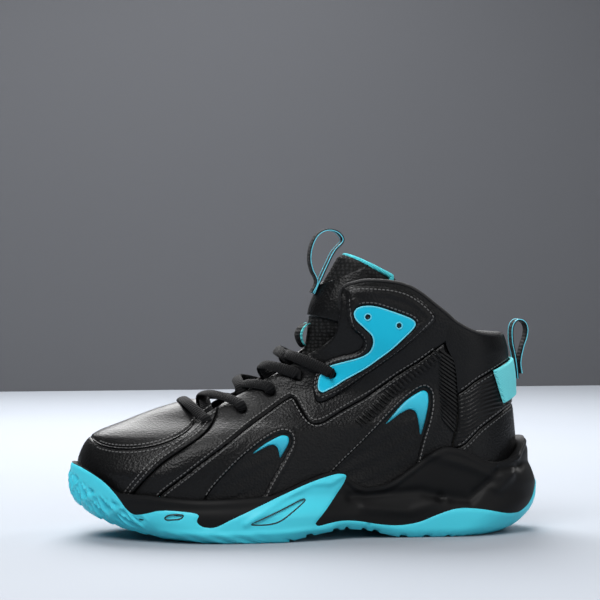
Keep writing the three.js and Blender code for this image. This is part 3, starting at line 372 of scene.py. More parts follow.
# Half width of the sole's wall: the plan low down, just outside the upper at the rim, drawn in at the ground.
def soleHalfWidth(side, x, z):
    upper = mix(np.where(side < 0, planLateral(x), planMedial(x)), shaftWidth(z), ease((z - 45) / 65))
    wide = mix(np.where(side < 0, soleLateral(x), soleMedial(x)), upper + 3.6, ease((z - 15) / 15))
    low = np.maximum(0, 1 - (z - groundZ(x)) / 6)
    wide = (wide - 3.5 * low * low) * rounded((x - soleFrontX(z)) / frontRound(z))
    return wide * rounded((soleBackX(z) - x) / backRound(z))


# A point of a side wall, moved out along the wall's normal, which comes from small steps in x and z.
def wallPoint(width, front, back):
    def at(side, x, z, out):
        side, x, z, out = np.broadcast_arrays(np.asarray(side, float), x, z, out)
        xi = np.clip(x, front(z) + 0.05, back(z) - 0.05)
        dx = (width(side, xi + 0.02, z) - width(side, xi - 0.02, z)) / 0.04
        dz = (width(side, xi, z + 0.02) - width(side, xi, z - 0.02)) / 0.04
        edge = (x <= front(z) + 1e-6) | (x >= back(z) - 1e-6)
        n = np.stack([-dx, np.where(edge, 0, side), -dz], -1)
        n /= np.linalg.norm(n, axis=-1)[..., None]
        y = midline(x) + np.where(edge, 0, side * width(side, x, z))
        return np.stack([x, y, z], -1) + n * out[..., None]

    return at


skin = wallPoint(halfWidth, frontX, backX)
soleWall = wallPoint(soleHalfWidth, soleFrontX, soleBackX)

# Distances from the skin to each layer's outer and inner face, as in the solids behind them.
layer = {"panel": (0, -1.6), "overlay": (2.8, 1.6), "plate": (4.75, 3.55), "backing": (-2.35, -3.55),
    "lining": (-5.0, -6.8), "fang": (-0.3, -1.6), "tongue": -13.55}


# meshes
def putMesh(name, points, faces, finish, body="shoe", nodes=(), uv=None, sharp=40, slotName=None):
    data = bpy.data.meshes.new(name)
    data.from_pydata((np.asarray(points).reshape(-1, 3) * mm).tolist(), [], [tuple(f) for f in faces])
    data.update()
    obj = bpy.data.objects.new(name, data)
    bpy.context.collection.objects.link(obj)
    data.materials.append(finish)
    data.polygons.foreach_set("use_smooth", np.ones(len(data.polygons), bool))
    data.set_sharp_from_angle(angle=math.radians(sharp))
    if uv is not None:
        loops = np.zeros(len(data.loops), int)
        data.loops.foreach_get("vertex_index", loops)
        data.uv_layers.new(name="UVMap").data.foreach_set("uv", np.asarray(uv, np.float32)[loops].ravel())
    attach(obj, body)
    if nodes:
        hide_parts(*nodes)
    return obj


# Faces of a closed sheet whose outer face is one grid and inner face another, walls all round.
def sheetFaces(cols, rows):
    i, j = np.meshgrid(np.arange(cols - 1), np.arange(rows - 1), indexing="ij")
    a = (i * rows + j).ravel()
    outer = np.stack([a, a + rows, a + rows + 1, a + 1], 1)
    n = cols * rows
    inner = outer[:, ::-1] + n
    border = np.concatenate([np.arange(cols) * rows, (cols - 1) * rows + np.arange(1, rows),
        (np.arange(cols - 2, -1, -1)) * rows + rows - 1, np.arange(rows - 2, 0, -1)])
    nxt = np.roll(border, -1)
    walls = np.stack([nxt, border, border + n, nxt + n], 1)
    return np.vstack([outer, inner, walls])


# Edges that only one quad has, each as it runs in that quad.
def borderOf(quads, total):
    edges = np.stack([quads, np.roll(quads, -1, 1)], -1).reshape(-1, 2)
    key = np.sort(edges, 1) @ np.array([total, 1])
    _, where, count = np.unique(key, return_index=True, return_counts=True)
    return edges[where[count == 1]]


# Faces in the order that makes the volume they enclose positive.
def turnedOut(points, faces):
    p = np.asarray(points).reshape(-1, 3)
    f = np.asarray(faces)
    a, b, c = p[f[:, 0]], p[f[:, 1]], p[f[:, 2]]
    volume = np.einsum("ij,ij->i", a, np.cross(b, c)).sum()
    if f.shape[1] == 4:
        volume += np.einsum("ij,ij->i", a, np.cross(c, p[f[:, 3]])).sum()
    return f if volume > 0 else f[:, ::-1]


def putSheet(name, outer, inner, finish, **more):
    points = np.stack([outer, inner])
    return putMesh(name, points, turnedOut(points, sheetFaces(*outer.shape[:2])), finish, **more)


# Distances along a grid of points, down its columns and along its rows.
def gridRuns(face):
    down, along = (np.linalg.norm(np.diff(face, axis=k), axis=2) for k in (0, 1))
    return (np.concatenate([np.zeros((1, face.shape[1])), np.cumsum(down, 0)]),
        np.concatenate([np.zeros((len(face), 1)), np.cumsum(along, 1)], 1))


# Outer face drops towards an edge like a quarter circle, and swells away from it.
def rolled(inside, outer, inner, roll, puff):
    t = np.clip(inside / roll, 0, 1)
    drop = (outer - inner) * 0.55 * (1 - np.sqrt(1 - (1 - t) ** 2))
    return outer - drop + puff * (1 - np.exp(-np.maximum(inside, 0) / 7))


def furrowed(out, x, z, grooves):
    for line, width, depth in grooves:
        d, _ = distanceTo(x, z, np.asarray(line, float))
        out = out - depth * np.exp(-((d / width) ** 2))
    return out


# A panel of one side cut to an outline: a square grid in side view, whose outside corners are
# drawn in to the nearest point of the outline, laid on the skin at two distances from it.
def cutPanel(name, side, outline, finish, depths, holes=(), step=1.3, roll=1.3, puff=0.0, grooves=(), shape=None,
        **more):
    outer, inner = depths
    low, high = outline.min(0) - step, outline.max(0) + step
    x, z = np.meshgrid(np.arange(low[0], high[0] + step, step), np.arange(low[1], high[1] + step, step), indexing="ij")
    inside, near = insideBy(x, z, outline)
    for hole in holes:
        d, q = insideBy(x, z, hole)
        closer = -d < inside
        inside = np.where(closer, -d, inside)
        near = np.where(closer[..., None], q, near)
    snap = np.abs(inside) < 0.3 * step
    inside = np.where(snap, 0, inside)
    corner = np.stack([inside[:-1, :-1], inside[1:, :-1], inside[1:, 1:], inside[:-1, 1:]], -1)
    kept = corner.max(-1) > 0
    rows = x.shape[1]
    i, j = np.nonzero(kept)
    a = i * rows + j
    faces = np.stack([a, a + rows, a + rows + 1, a + 1], 1)
    moved = inside <= 0
    x, z = np.where(moved, near[..., 0], x), np.where(moved, near[..., 1], z)
    used = np.unique(faces)
    index = np.full(x.size, -1)
    index[used] = np.arange(len(used))
    faces = index[faces]
    x, z, inside = x.ravel()[used], z.ravel()[used], np.maximum(inside.ravel()[used], 0)
    out = rolled(inside, outer, inner, roll, puff)
    out = furrowed(out, x, z, grooves)
    if shape is not None:
        out = out + shape(x, z) * np.clip(inside / 2.5, 0, 1)
    top, bottom = skin(side, x, z, out), skin(side, x, z, np.full(x.shape, inner))
    border = borderOf(faces, len(used))
    n = len(used)
    walls = np.stack([border[:, 1], border[:, 0], border[:, 0] + n, border[:, 1] + n], 1)
    quads = np.vstack([faces, faces[:, ::-1] + n, walls])
    points = np.vstack([top, bottom])
    quads = turnedOut(points, quads)
    return putMesh(name, points, quads, finish, **more)


# A panel on any grid of spots, with rolled edges; distance to the edge is measured along the grid.
def gridPanel(name, side, x, z, finish, depths, roll=1.3, puff=0.0, shape=None, ends=True, **more):
    outer, inner = depths
    du, dv = gridRuns(skin(side, x, z, outer))
    inside = np.minimum(dv, dv[:, -1:] - dv)
    if ends:
        inside = np.minimum(inside, np.minimum(du, du[-1:] - du))
    out = rolled(inside, outer, inner, roll, puff)
    if shape is not None:
        out = out + shape(du, dv, inside)
    return putSheet(name, skin(side, x, z, out), skin(side, x, z, np.broadcast_to(inner, x.shape)), finish, **more)


# Grid between four edges: two that run along u and two that run along v.
def patchwork(low, high, start, end, us, vs):
    a, b, c, d = low(us)[:, None], high(us)[:, None], start(vs)[None], end(vs)[None]
    u, v = us[:, None, None], vs[None, :, None]
    corners = mix(mix(low(0.0), low(1.0), u), mix(high(0.0), high(1.0), u), v)
    return mix(a, b, v) + mix(c, d, u) - corners


# Both sides of a grid joined on the toe's or the heel's centre line.
def roundToe(make):
    m, l = make(1), make(-1)
    p = np.concatenate([m[::-1][:-1], l])
    side = np.concatenate([np.ones(len(m) - 1), -np.ones(len(l))])[:, None] * np.ones(p.shape[1])
    return side, p[..., 0], p[..., 1]


def roundHeel(make):
    l, m = make(-1), make(1)
    p = np.concatenate([l, m[::-1][1:]])
    side = np.concatenate([-np.ones(len(l)), np.ones(len(m) - 1)])[:, None] * np.ones(p.shape[1])
    return side, p[..., 0], p[..., 1]


# Columns over the centre line: from the lateral edge up to the ridge and down to the medial one.
def overRidge(edge, top, us, rows):
    v = (1 - np.linspace(0, 1, rows + 1)) ** 2
    half = mix(top(us)[:, None], edge(us)[:, None], v[None, :, None])
    p = np.concatenate([half, half[:, ::-1][:, 1:]], 1)
    side = np.concatenate([-np.ones(rows + 1), np.ones(rows)])[None, :] * np.ones((len(us), 1))
    return side, p[..., 0], p[..., 1]


# Shares from 0 to 1 that crowd towards both ends.
def edgeDense(count, power=1.7):
    t = np.linspace(-1, 1, count)
    return 0.5 + 0.5 * np.sign(t) * (1 - (1 - np.abs(t)) ** power)


# Thin tubes between pairs of ends laid on the surface, all in one mesh: four rings of five points each.
def spindles(name, starts, ends, ups, radius, finish, flat=0.6):
    a = np.linspace(0, 2 * np.pi, 5, endpoint=False)
    along = np.array([0, 0.18, 0.82, 1])
    fat = np.array([0.35, 1, 1, 0.35])
    d = ends - starts
    t = d / np.linalg.norm(d, axis=1)[:, None]
    up = ups - (ups * t).sum(1)[:, None] * t
    up /= np.linalg.norm(up, axis=1)[:, None]
    across = np.cross(t, up)
    cosines, sines = np.cos(a)[None, None, :, None], np.sin(a)[None, None, :, None]
    section = up[:, None, None] * sines * flat + across[:, None, None] * cosines
    centres = starts[:, None, None] + d[:, None, None] * along[None, :, None, None]
    ring = centres + radius * fat[None, :, None, None] * section
    k, r, c = np.meshgrid(np.arange(len(starts)), np.arange(3), np.arange(5), indexing="ij")
    c2 = (c + 1) % 5
    quads = np.stack([k * 20 + r * 5 + c, k * 20 + r * 5 + c2, k * 20 + (r + 1) * 5 + c2, k * 20 + (r + 1) * 5 + c],
        -1).reshape(-1, 4)
    base = np.arange(len(starts))[:, None] * 20
    caps = np.vstack([base + np.array([4, 3, 2, 1, 0]), base + np.array([15, 16, 17, 18, 19])])
    points = ring.reshape(-1, 3)
    if volumeOf(points, quads[:15]) < 0:
        quads, caps = quads[:, ::-1], caps[:, ::-1]
    return putMesh(name, points, quads.tolist() + caps.tolist(), finish, sharp=60)


def volumeOf(points, quads):
    p = np.asarray(points).reshape(-1, 3)
    a, b, c, d = (p[quads[:, k]] - p[quads[0, 0]] for k in range(4))
    return np.einsum("ij,ij->i", a, np.cross(b, c)).sum() + np.einsum("ij,ij->i", a, np.cross(c, d)).sum()


# A line on the skin as points, with the outward direction at each.
def onSkin(side, line, out, surface=skin):
    line = np.asarray(line, float)
    p = surface(side, line[:, 0], line[:, 1], np.full(len(line), float(out)))
    q = surface(side, line[:, 0], line[:, 1], np.full(len(line), out + 1.0))
    return p, q - p


stitchLook = {"pitch": 2.7, "length": 1.9, "radius": 0.42, "flat": 0.6}


# Rows of stitches: a spindle every pitch along each line.
def stitches(name, rows, finish):
    starts, ends, ups = [], [], []
    for side, line, out in rows:
        p, n = onSkin(side, spline(line, 700), out)
        s = lengthAlong(p)
        at = np.arange(stitchLook["pitch"], s[-1] - stitchLook["pitch"], stitchLook["pitch"])
        for share, keep in ((at, starts), (at + stitchLook["length"], ends)):
            keep.append(np.stack([np.interp(share, s, p[:, k]) for k in range(3)], 1))
        ups.append(np.stack([np.interp(at, s, n[:, k]) for k in range(3)], 1))
    return spindles(name, np.vstack(starts), np.vstack(ends), np.vstack(ups), stitchLook["radius"], finish,
        stitchLook["flat"])


# A closed tube of an oval section carried along points, with the section's up direction at each point.
def sweep(name, p, up, wide, high, finish, sides=10, looped=False, square=1.0, **more):
    ahead = np.gradient(p, axis=0)
    if looped:
        ahead = np.roll(p, -1, 0) - np.roll(p, 1, 0)
    t = ahead / np.linalg.norm(ahead, axis=1)[:, None]
    up = up - (up * t).sum(1)[:, None] * t
    up /= np.linalg.norm(up, axis=1)[:, None]
    across = np.cross(t, up)
    a = np.linspace(0, 2 * np.pi, sides, endpoint=False)
    ca, sa = np.sign(np.cos(a)) * np.abs(np.cos(a)) ** square, np.sign(np.sin(a)) * np.abs(np.sin(a)) ** square
    wide, high = np.broadcast_to(wide, len(p))[:, None, None], np.broadcast_to(high, len(p))[:, None, None]
    ring = p[:, None] + across[:, None] * ca[None, :, None] * wide / 2 + up[:, None] * sa[None, :, None] * high / 2
    n = len(p)
    i, j = np.meshgrid(np.arange(n if looped else n - 1), np.arange(sides), indexing="ij")
    i2, j2 = (i + 1) % n, (j + 1) % sides
    quads = np.stack([i * sides + j, i * sides + j2, i2 * sides + j2, i2 * sides + j], -1).reshape(-1, 4)
    flipped = volumeOf(ring, quads) < 0
    if flipped:
        quads = quads[:, ::-1]
    faces = quads.tolist()
    if not looped:
        ends = [list(range(sides - 1, -1, -1)), list(range((n - 1) * sides, n * sides))]
        faces += [e[::-1] for e in ends] if flipped else ends
    s = lengthAlong(p)
    uv = np.stack([np.broadcast_to(0.5 + 0.5 * ca, (n, sides)), np.broadcast_to(s[:, None] * mm, (n, sides))],
        -1).reshape(-1, 2)
    return putMesh(name, ring.reshape(-1, 3), faces, finish, uv=uv, **more)


def beading(name, side, line, out, finish, radius=0.4, count=220, looped=False, surface=skin, **more):
    fine = spline(line, count, looped)
    if looped:
        fine = fine[:-1]
    p, n = onSkin(side, fine, out, surface)
    return sweep(name, p, n, 2 * radius, 2 * radius, finish, 8, looped, **more)


def both(make):
    for side, word in ((-1, "lateral"), (1, "medial")):
        make(side, word)


# lines of the pattern, as x and z in side view
def feather(x): return featherZ(x) + 0.8


def line(*points): return np.array(points, float)


plugSeam = line((-140, 64), (-137.5, 61.5), (-132.5, 59.5), (-124, 58.5), (-113.5, 59), (-100.5, 61.5), (-88.5, 66),
    (-80, 71), (-75.5, 75))
toeSeam = line((-119, 19.5), (-116.5, 30.5), (-101.5, 48), (-83.5, 60.5), (-72, 68), (-64, 76), (-60.5, 84.5))
throatEdge = line((-60.5, 84.5), (-51, 89.5), (-42, 94), (-31.5, 100), (-16.5, 108.5), (-4.5, 116), (4, 121), (11, 126))
ankleFront = line((14.5, 134), (16, 146), (17, 158.5))
collarFront = line((20, 162), (25, 163.7), (34, 165), (49, 164), (59.5, 161.5), (68, 157), (77, 150))
collarBack = line((85, 143.5), (92.5, 137), (103.5, 131.5), (114, 129.5), (124, 129.5))
quarterSeam = line((-103, 18), (-100.5, 29.5), (-84, 43), (-67.5, 55.5), (-50, 68), (-32, 79.5), (-16, 89.5), (-12, 89),
    (-8, 81), (-3, 74.5), (4, 74.5), (16, 80.5), (36.5, 91.5), (55.5, 104.5), (69, 113), (84, 124))
frontWindow = line((-74, 24), (-67.5, 35), (-51, 52), (-37, 62.5), (-27.5, 67.5), (-20.5, 69), (-16.5, 66.5),
    (-16.5, 61), (-23.5, 49), (-30.5, 38), (-38, 24))
frontFang = line((-44, 54.5), (-36, 60.5), (-28, 65), (-22, 67.5), (-18, 66), (-18, 62), (-22.5, 54.5), (-24, 52),
    (-25, 59), (-28, 61.5), (-32.5, 60.5))
rearWindow = line((2, 31), (11, 43.5), (29, 59.5), (44.5, 75), (58, 87.5), (70.5, 96.5), (75.5, 94), (76, 86), (74, 76),
    (68.5, 59), (62, 31))
rearFang = line((43.5, 71), (48.5, 76), (58, 86.5), (66.5, 92), (71.5, 94), (74.3, 92), (74.3, 86), (72, 76),
    (68.5, 63.5), (68, 68), (67, 76), (65.5, 81), (61.5, 82.5), (55.5, 79.5))
ankleOverlay = line((20, 158.5), (20.5, 148), (21.5, 139), (24, 133), (30, 129), (32, 123.5), (27, 118.5), (13, 115.5),
    (6, 111), (2, 104), (0, 95), (0.5, 87.5), (4, 85.5), (17, 91.5), (36, 105.5), (54, 118.5), (77, 138), (78, 142.5),
    (70, 150.5), (60, 157), (49, 160), (34, 161), (24.5, 160.5))
anklePlate = line((24.5, 144), (26.5, 147), (31, 148.3), (38.5, 148), (54, 142.8), (61.5, 140), (64, 137.5),
    (63, 134.5), (54, 126), (46.5, 119.5), (34.5, 110), (22, 102), (9.5, 93.5), (6, 91), (3.7, 92.5), (3.2, 96),
    (4.5, 103), (10, 110), (19.5, 113), (29, 115.5), (35.5, 119.5), (37.5, 125), (36.5, 130), (31, 135), (25.5, 140))
laceRows = [(-68.5, 74.5), (-46, 83), (-26.5, 93.5), (-9, 103), (12.5, 104.5)]
spareHoles = [(33, 141.5), (53, 136)]
evenly = np.linspace
seam = 0.45


def circle(centre, radius, count=20):
    a = np.linspace(0, 2 * np.pi, count, endpoint=False)
    return np.stack([centre[0] + radius * np.cos(a), centre[1] + radius * np.sin(a)], 1)


# A path moved sideways by a distance.
def beside(path, distance):
    def at(u):
        u = np.asarray(u, float)
        a, b = path(np.clip(u - 0.004, 0, 1)), path(np.clip(u + 0.004, 0, 1))
        d = (b - a) / np.linalg.norm(b - a, axis=-1)[..., None]
        return path(u) + distance * np.stack([-d[..., 1], d[..., 0]], -1)

    return at


def straight(a, b):
    a, b = np.array(a, float), np.array(b, float)
    return lambda u: mix(a, b, np.asarray(u, float)[..., None])


def centreLine(edge, low, high):
    return lambda v: np.stack([edge(mix(low, high, np.asarray(v, float))), mix(low, high, np.asarray(v, float))], -1)


def ridgeHeight(x):
    zs = np.linspace(50, 195, 3000)
    return zs[np.argmax(frontX(zs) >= x)]


toeFeather = (float(frontX(feather(-147))), float(feather(-147)))
heelFeather = (float(backX(feather(140))), float(feather(140)))
def heelEdge(z): return (float(backX(z)), z)
def alongFeather(*xs): return [(x, float(feather(x))) for x in xs]


# sole unit
soleLook = {"around": 300, "rowStep": 1.15, "reach": 330, "proud": 0.55, "rubber": 4.0, "flange": 2.6, "across": 46,
    "tread": 1.5, "facet": 2.3}
half = soleLook["around"]


# Side and share of the length for each column of a ring that runs back by the lateral side and forward by the medial.
def ringSides(half):
    turn = np.arange(2 * half)
    return np.where(turn <= half, -1.0, 1.0), np.where(turn <= half, turn, 2 * half - turn) / half


turn = np.arange(2 * half)
turnSide, turnShare = ringSides(half)


# Spots round the sole at heights given by a function of side and x; x and z are settled together.
def ringAt(share, side, height, front, back):
    along = 0.5 - 0.5 * np.cos(np.pi * share)
    x = mix(-150, 150, along)
    for _ in range(5):
        z = height(side, x)
        x = mix(front(z), back(z), along)
    return x, z


# The wall unrolled: distance round it from the toe by the lateral side, and height over the ground line.
def unrolled(side, x, z):
    along = np.clip((x - soleFrontX(z)) / (soleBackX(z) - soleFrontX(z)), 0, 1)
    s = np.arccos(1 - 2 * along) / np.pi * soleLook["reach"]
    return np.stack([np.where(side < 0, s, 2 * soleLook["reach"] - s), z - groundZ(x)], -1)


rubberLineLateral = line((-158, 48.5), (-152, 47.3), (-147, 45.8), (-139.5, 41.8), (-133, 37), (-126.5, 29.6),
    (-121, 21.2), (-116.5, 17.8), (-110, 18.8), (-100, 21.7), (-76, 19.7), (-79, 14.3), (-75, 10.9), (-67, 10.4),
    (-56.5, 15.8), (-33, 25.7), (-6, 36.8), (12, 42.2), (19.5, 41.2), (17.5, 36), (9, 24.5), (0, 14.8), (-3.5, 10.8),
    (-1, 9.6), (7, 11.4), (16, 12.6), (26.5, 11.8), (39.5, 9.2), (53, 8), (66, 9.8), (79, 15.2), (88.5, 18.2),
    (96.5, 18.8), (109.5, 17.5), (125.5, 14), (135, 14), (143, 18.5), (148, 25), (152, 33), (158, 41))
rubberLineMedial = line((-158, 48.5), (-152, 47.3), (-147, 45.8), (-138, 43), (-130, 39), (-112, 28), (-91, 14.8),
    (-85, 14.6), (-76, 17), (-61, 20.5), (-46, 21), (-27, 17), (-4, 13.5), (24, 12.5), (55, 10), (75, 12.5), (90, 16),
    (105, 15.5), (120, 13.5), (135, 14), (143, 18.5), (148, 25), (152, 33), (158, 41))


def openSoftened(points, rounds=2, cut=0.2):
    p = points
    for _ in range(rounds):
        q = np.stack([mix(p[:-1], p[1:], cut), mix(p[:-1], p[1:], 1 - cut)], 1).reshape(-1, 2)
        p = np.vstack([p[:1], q, p[-1:]])
    return p


def unrolledLine(side, points):
    fine = resample(openSoftened(points), 5000)
    x, z = fine.T
    fine = fine[(x > soleFrontX(z)) & (x < soleBackX(z))]
    return unrolled(side, fine[:, 0], fine[:, 1])


lateralRun, medialRun = unrolledLine(-1, rubberLineLateral), unrolledLine(1, rubberLineMedial)[::-1]
once = np.vstack([lateralRun, medialRun])
loopShift = np.array([2 * soleLook["reach"], 0])
rubberRun = resample(np.vstack([once[-900:] - loopShift, once, once[:900] + loopShift]), 900)
rubberZone = np.vstack([rubberRun, [rubberRun[-1, 0], -30], [rubberRun[0, 0], -30]])


def ringFaces(rows, columns):
    i, j = np.meshgrid(np.arange(columns), np.arange(rows - 1), indexing="ij")
    i2 = (i + 1) % columns
    return np.stack([i * rows + j, i2 * rows + j, i2 * rows + j + 1, i * rows + j + 1], -1)


# Quads from side to side between matching columns of a ring, with triangles at toe and heel;
# first and step give each column's vertex.
def crossing(first, step, columns):
    i = np.arange(columns // 2)
    quads = first + step * np.stack([i, i + 1, (columns - i - 1) % columns, (columns - i) % columns], 1)
    faces = quads.tolist()
    faces[0], faces[-1] = faces[0][1:], quads[-1, [0, 1, 3]].tolist()
    return faces


# Three sets of sloping bands that meet as rows of small pyramids.
def pyramids(t, h, pitch):
    d = [np.abs(((t * c + h * s) / pitch) % 1 - 0.5) for c, s in ((1, 0.15), (0.5, 0.87), (-0.5, 0.87))]
    return 1 - 2 * np.minimum(np.minimum(0.5 - d[0], 0.5 - d[1]), 0.5 - d[2]) * 2.4


slotLines = [line((-45, 12), (-44, 13.2), (-35, 16.6), (-22, 21.8), (-10, 26.8), (-8.4, 26.4), (-10.3, 24.2),
    (-19.5, 18), (-27, 13.4), (-34, 11.9)), line((-98, 17), (-94.8, 18.8), (-87.3, 18.8), (-86.3, 18), (-88.5, 16),
    (-97.2, 15.4))]


def rubberShape(side, x, z, t, h):
    toe = np.clip((-104 - x) / 8, 0, 1) * ease((h - 1.5) / 2) * ease((15 - h + (-x - 104) * 0.06) / 2.5)
    low = (side < 0) * np.clip((x + 104) / 6, 0, 1) * np.clip((-30 - x) / 10, 0, 1) * ease((7 - h) / 2)
    wave = (side > 0) * np.clip((x + 104) / 6, 0, 1) * np.clip((60 - x) / 20, 0, 1) * ease((12 - h) / 3)
    out = soleLook["facet"] * (toe + wave) * (pyramids(t, h, 9.5) - 0.6) + 0.35 * low * np.sin(t / 2.1)
    notch = ease((np.sin(t * 0.83) + np.sin(t * 0.37 + 1) - 0.55) * 3) * np.clip(1 - h / 2.6, 0, 1)
    d, _ = distanceTo(x, z, line((-48, 12.5), (-24, 27), (-4, 37), (8, 36), (17, 41.5)))
    e, _ = distanceTo(x, z, line((-100, 8), (-60, 6), (-20, 7), (10, 8.5)))
    ridge = (side < 0) * (1.2 * np.exp(-((d / 1.8) ** 2)) + 0.9 * np.exp(-((e / 1.5) ** 2)))
    for slot in slotLines:
        g, _ = insideBy(x, z, softened(slot))
        ridge = ridge - (side < 0) * 0.9 * ease((g + 0.4) / 1.0)
    return out - 1.7 * notch + ridge


def makeOutsole():
    rows = int(46 / soleLook["rowStep"])
    columns = 2 * half
    t = np.repeat(turn[:, None] * soleLook["reach"] / half, rows, 1)
    h = np.repeat(np.arange(rows)[None] * soleLook["rowStep"], columns, 0)
    inside, near = insideBy(t, h, rubberZone)
    snapped = (inside < 0.35 * soleLook["rowStep"]) & (h > 0)
    centre = (turn % half == 0)[:, None] & np.ones(rows, bool)[None]
    faces = ringFaces(rows, columns)
    kept = inside.reshape(-1)[faces].max(-1) > 0
    faces = faces[kept]
    nt = np.where(centre, t, near[..., 0])
    t, h = np.where(snapped, nt, t), np.where(snapped, near[..., 1], h)
    inside = np.where(snapped, 0, inside)
    t = t % (2 * soleLook["reach"])
    share = np.where(t <= soleLook["reach"], t, 2 * soleLook["reach"] - t) / soleLook["reach"]
    side = np.where(t <= soleLook["reach"], -1.0, 1.0)
    x, z = ringAt(share, side, lambda s, q: groundZ(q) + h, soleFrontX, soleBackX)
    out = soleLook["proud"] + rubberShape(side, x, z, t, h) * ease(inside / 2.5)
    out = out - 0.5 * (1 - np.sqrt(np.clip(inside / 1.3, 0, 1)))
    outer = soleWall(side, x, z, out)
    outer[..., 2] = np.maximum(outer[..., 2], 0)
    lap = ease((inside - soleLook["flange"]) / 2)
    inner = soleWall(side, x, z, mix(0.04, -soleLook["rubber"], lap))
    inner[:, 0, 2] += 4.4
    n = columns * rows
    # the underside: across from one wall's foot to the other's, with a herringbone tread
    across = soleLook["across"]
    i, k = np.meshgrid(np.arange(1, half), np.arange(1, across), indexing="ij")
    v = (0.5 - 0.5 * np.cos(np.pi * k / across))[..., None]
    flat = mix(outer[i, 0], outer[(columns - i) % columns, 0], v)
    herring = np.abs(((flat[..., 1] + 60) / 15) % 2 - 1) * 9
    groove = ease((np.sin((flat[..., 0] + herring) * 2 * np.pi / 7.5) - 0.1) * 2.5)
    pods = 1 - np.exp(-(((flat[..., 0] - 22) / 16) ** 2))
    edge = ease(np.minimum(v[..., 0], 1 - v[..., 0]) / 0.06)
    flat[..., 2] += soleLook["tread"] * groove * pods * edge
    under = flat.reshape(-1, 3)
    roof = under * 1.0
    roof[:, 2] = mix(inner[i, 0], inner[(columns - i) % columns, 0], v).reshape(-1, 3)[:, 2]
    m = len(under)

    i, k = np.meshgrid(np.arange(half + 1), np.arange(across + 1), indexing="ij")
    at = n + (i - 1) * (across - 1) + k - 1
    at = np.where(k == across, ((columns - i) % columns) * rows, at)
    at = np.where((k == 0) | (i == 0) | (i == half), i * rows, at)
    quads = np.stack([at[:-1, :-1], at[:-1, 1:], at[1:, 1:], at[1:, :-1]], -1)
    bottom = quads[0][:, [0, 2, 3]].tolist() + quads[1:-1].reshape(-1, 4).tolist() + quads[-1][:, :3].tolist()
    wall = faces.reshape(-1, 4)
    border = borderOf(wall, n + m)
    border = border[(border % rows).max(1) > 0]
    top = n + m
    rim = np.stack([border[:, 1], border[:, 0], border[:, 0] + top, border[:, 1] + top], 1)
    everything = wall.tolist() + bottom + (wall[:, ::-1] + top).tolist() + [[q + top for q in f[::-1]]
        for f in bottom] + rim.tolist()
    points = np.vstack([outer.reshape(-1, 3), under, inner.reshape(-1, 3), roof])
    if volumeOf(points, np.vstack([wall, wall[:, ::-1] + top])) < 0:
        everything = [f[::-1] for f in everything]
    used = np.unique(np.concatenate([np.array(f) for f in everything]))
    index = np.full(len(points), -1)
    index[used] = np.arange(len(used))
    return putMesh("cyanOutsole", points[used], [[int(index[q]) for q in f] for f in everything], rubber,
        nodes=("outsole",), sharp=50, slotName="cyan_rubber")


rimLateral = curve([(-153, 47.5), (-147, 45.8), (-139.5, 41.8), (-133, 37), (-126.5, 31), (-109, 30), (-91, 28),
    (-73.5, 27), (-51, 27.5), (-33, 28.5), (-6, 38), (13, 43), (19, 40), (25.5, 34.5), (33, 32), (42.5, 33), (50, 36),
    (60.5, 43), (71, 50.5), (79, 55.5), (85.5, 57), (92.5, 56), (103, 51.5), (116.5, 46.5), (124, 46.8), (131, 50),
    (137, 54.5), (141, 58.5), (146, 61.5)])
rimMedial = curve([(-153, 47.5), (-147, 45.8), (-139.5, 42.2), (-133, 38.5), (-120, 32), (-108, 29.5), (-78, 27),
    (-52, 26.5), (-25, 28), (3, 31.5), (28, 36), (55, 41), (72, 47.5), (85, 55), (93, 57), (103, 53), (116.5, 46.5),
    (124, 46.8), (131, 50), (137, 54.5), (141, 58.5), (146, 61.5)])
creases = [  # line, width, depth: negative depth is a ridge
    (line((22, 27), (50.5, 28.5), (68, 29.5), (81, 25.5)), 3.0, 1.9),
    (line((81, 25.5), (99.5, 24), (110, 33), (121, 43), (135.5, 44)), 3.0, 2.3),
    (line((74, 53), (83, 50.5), (99, 46), (117, 38.5), (126, 40)), 3.6, -1.7),
    (line((118, 30), (128, 38), (134, 50)), 3.2, -1.7),
    (line((30, 20), (60, 17), (84, 24)), 3.0, -1.2),
]


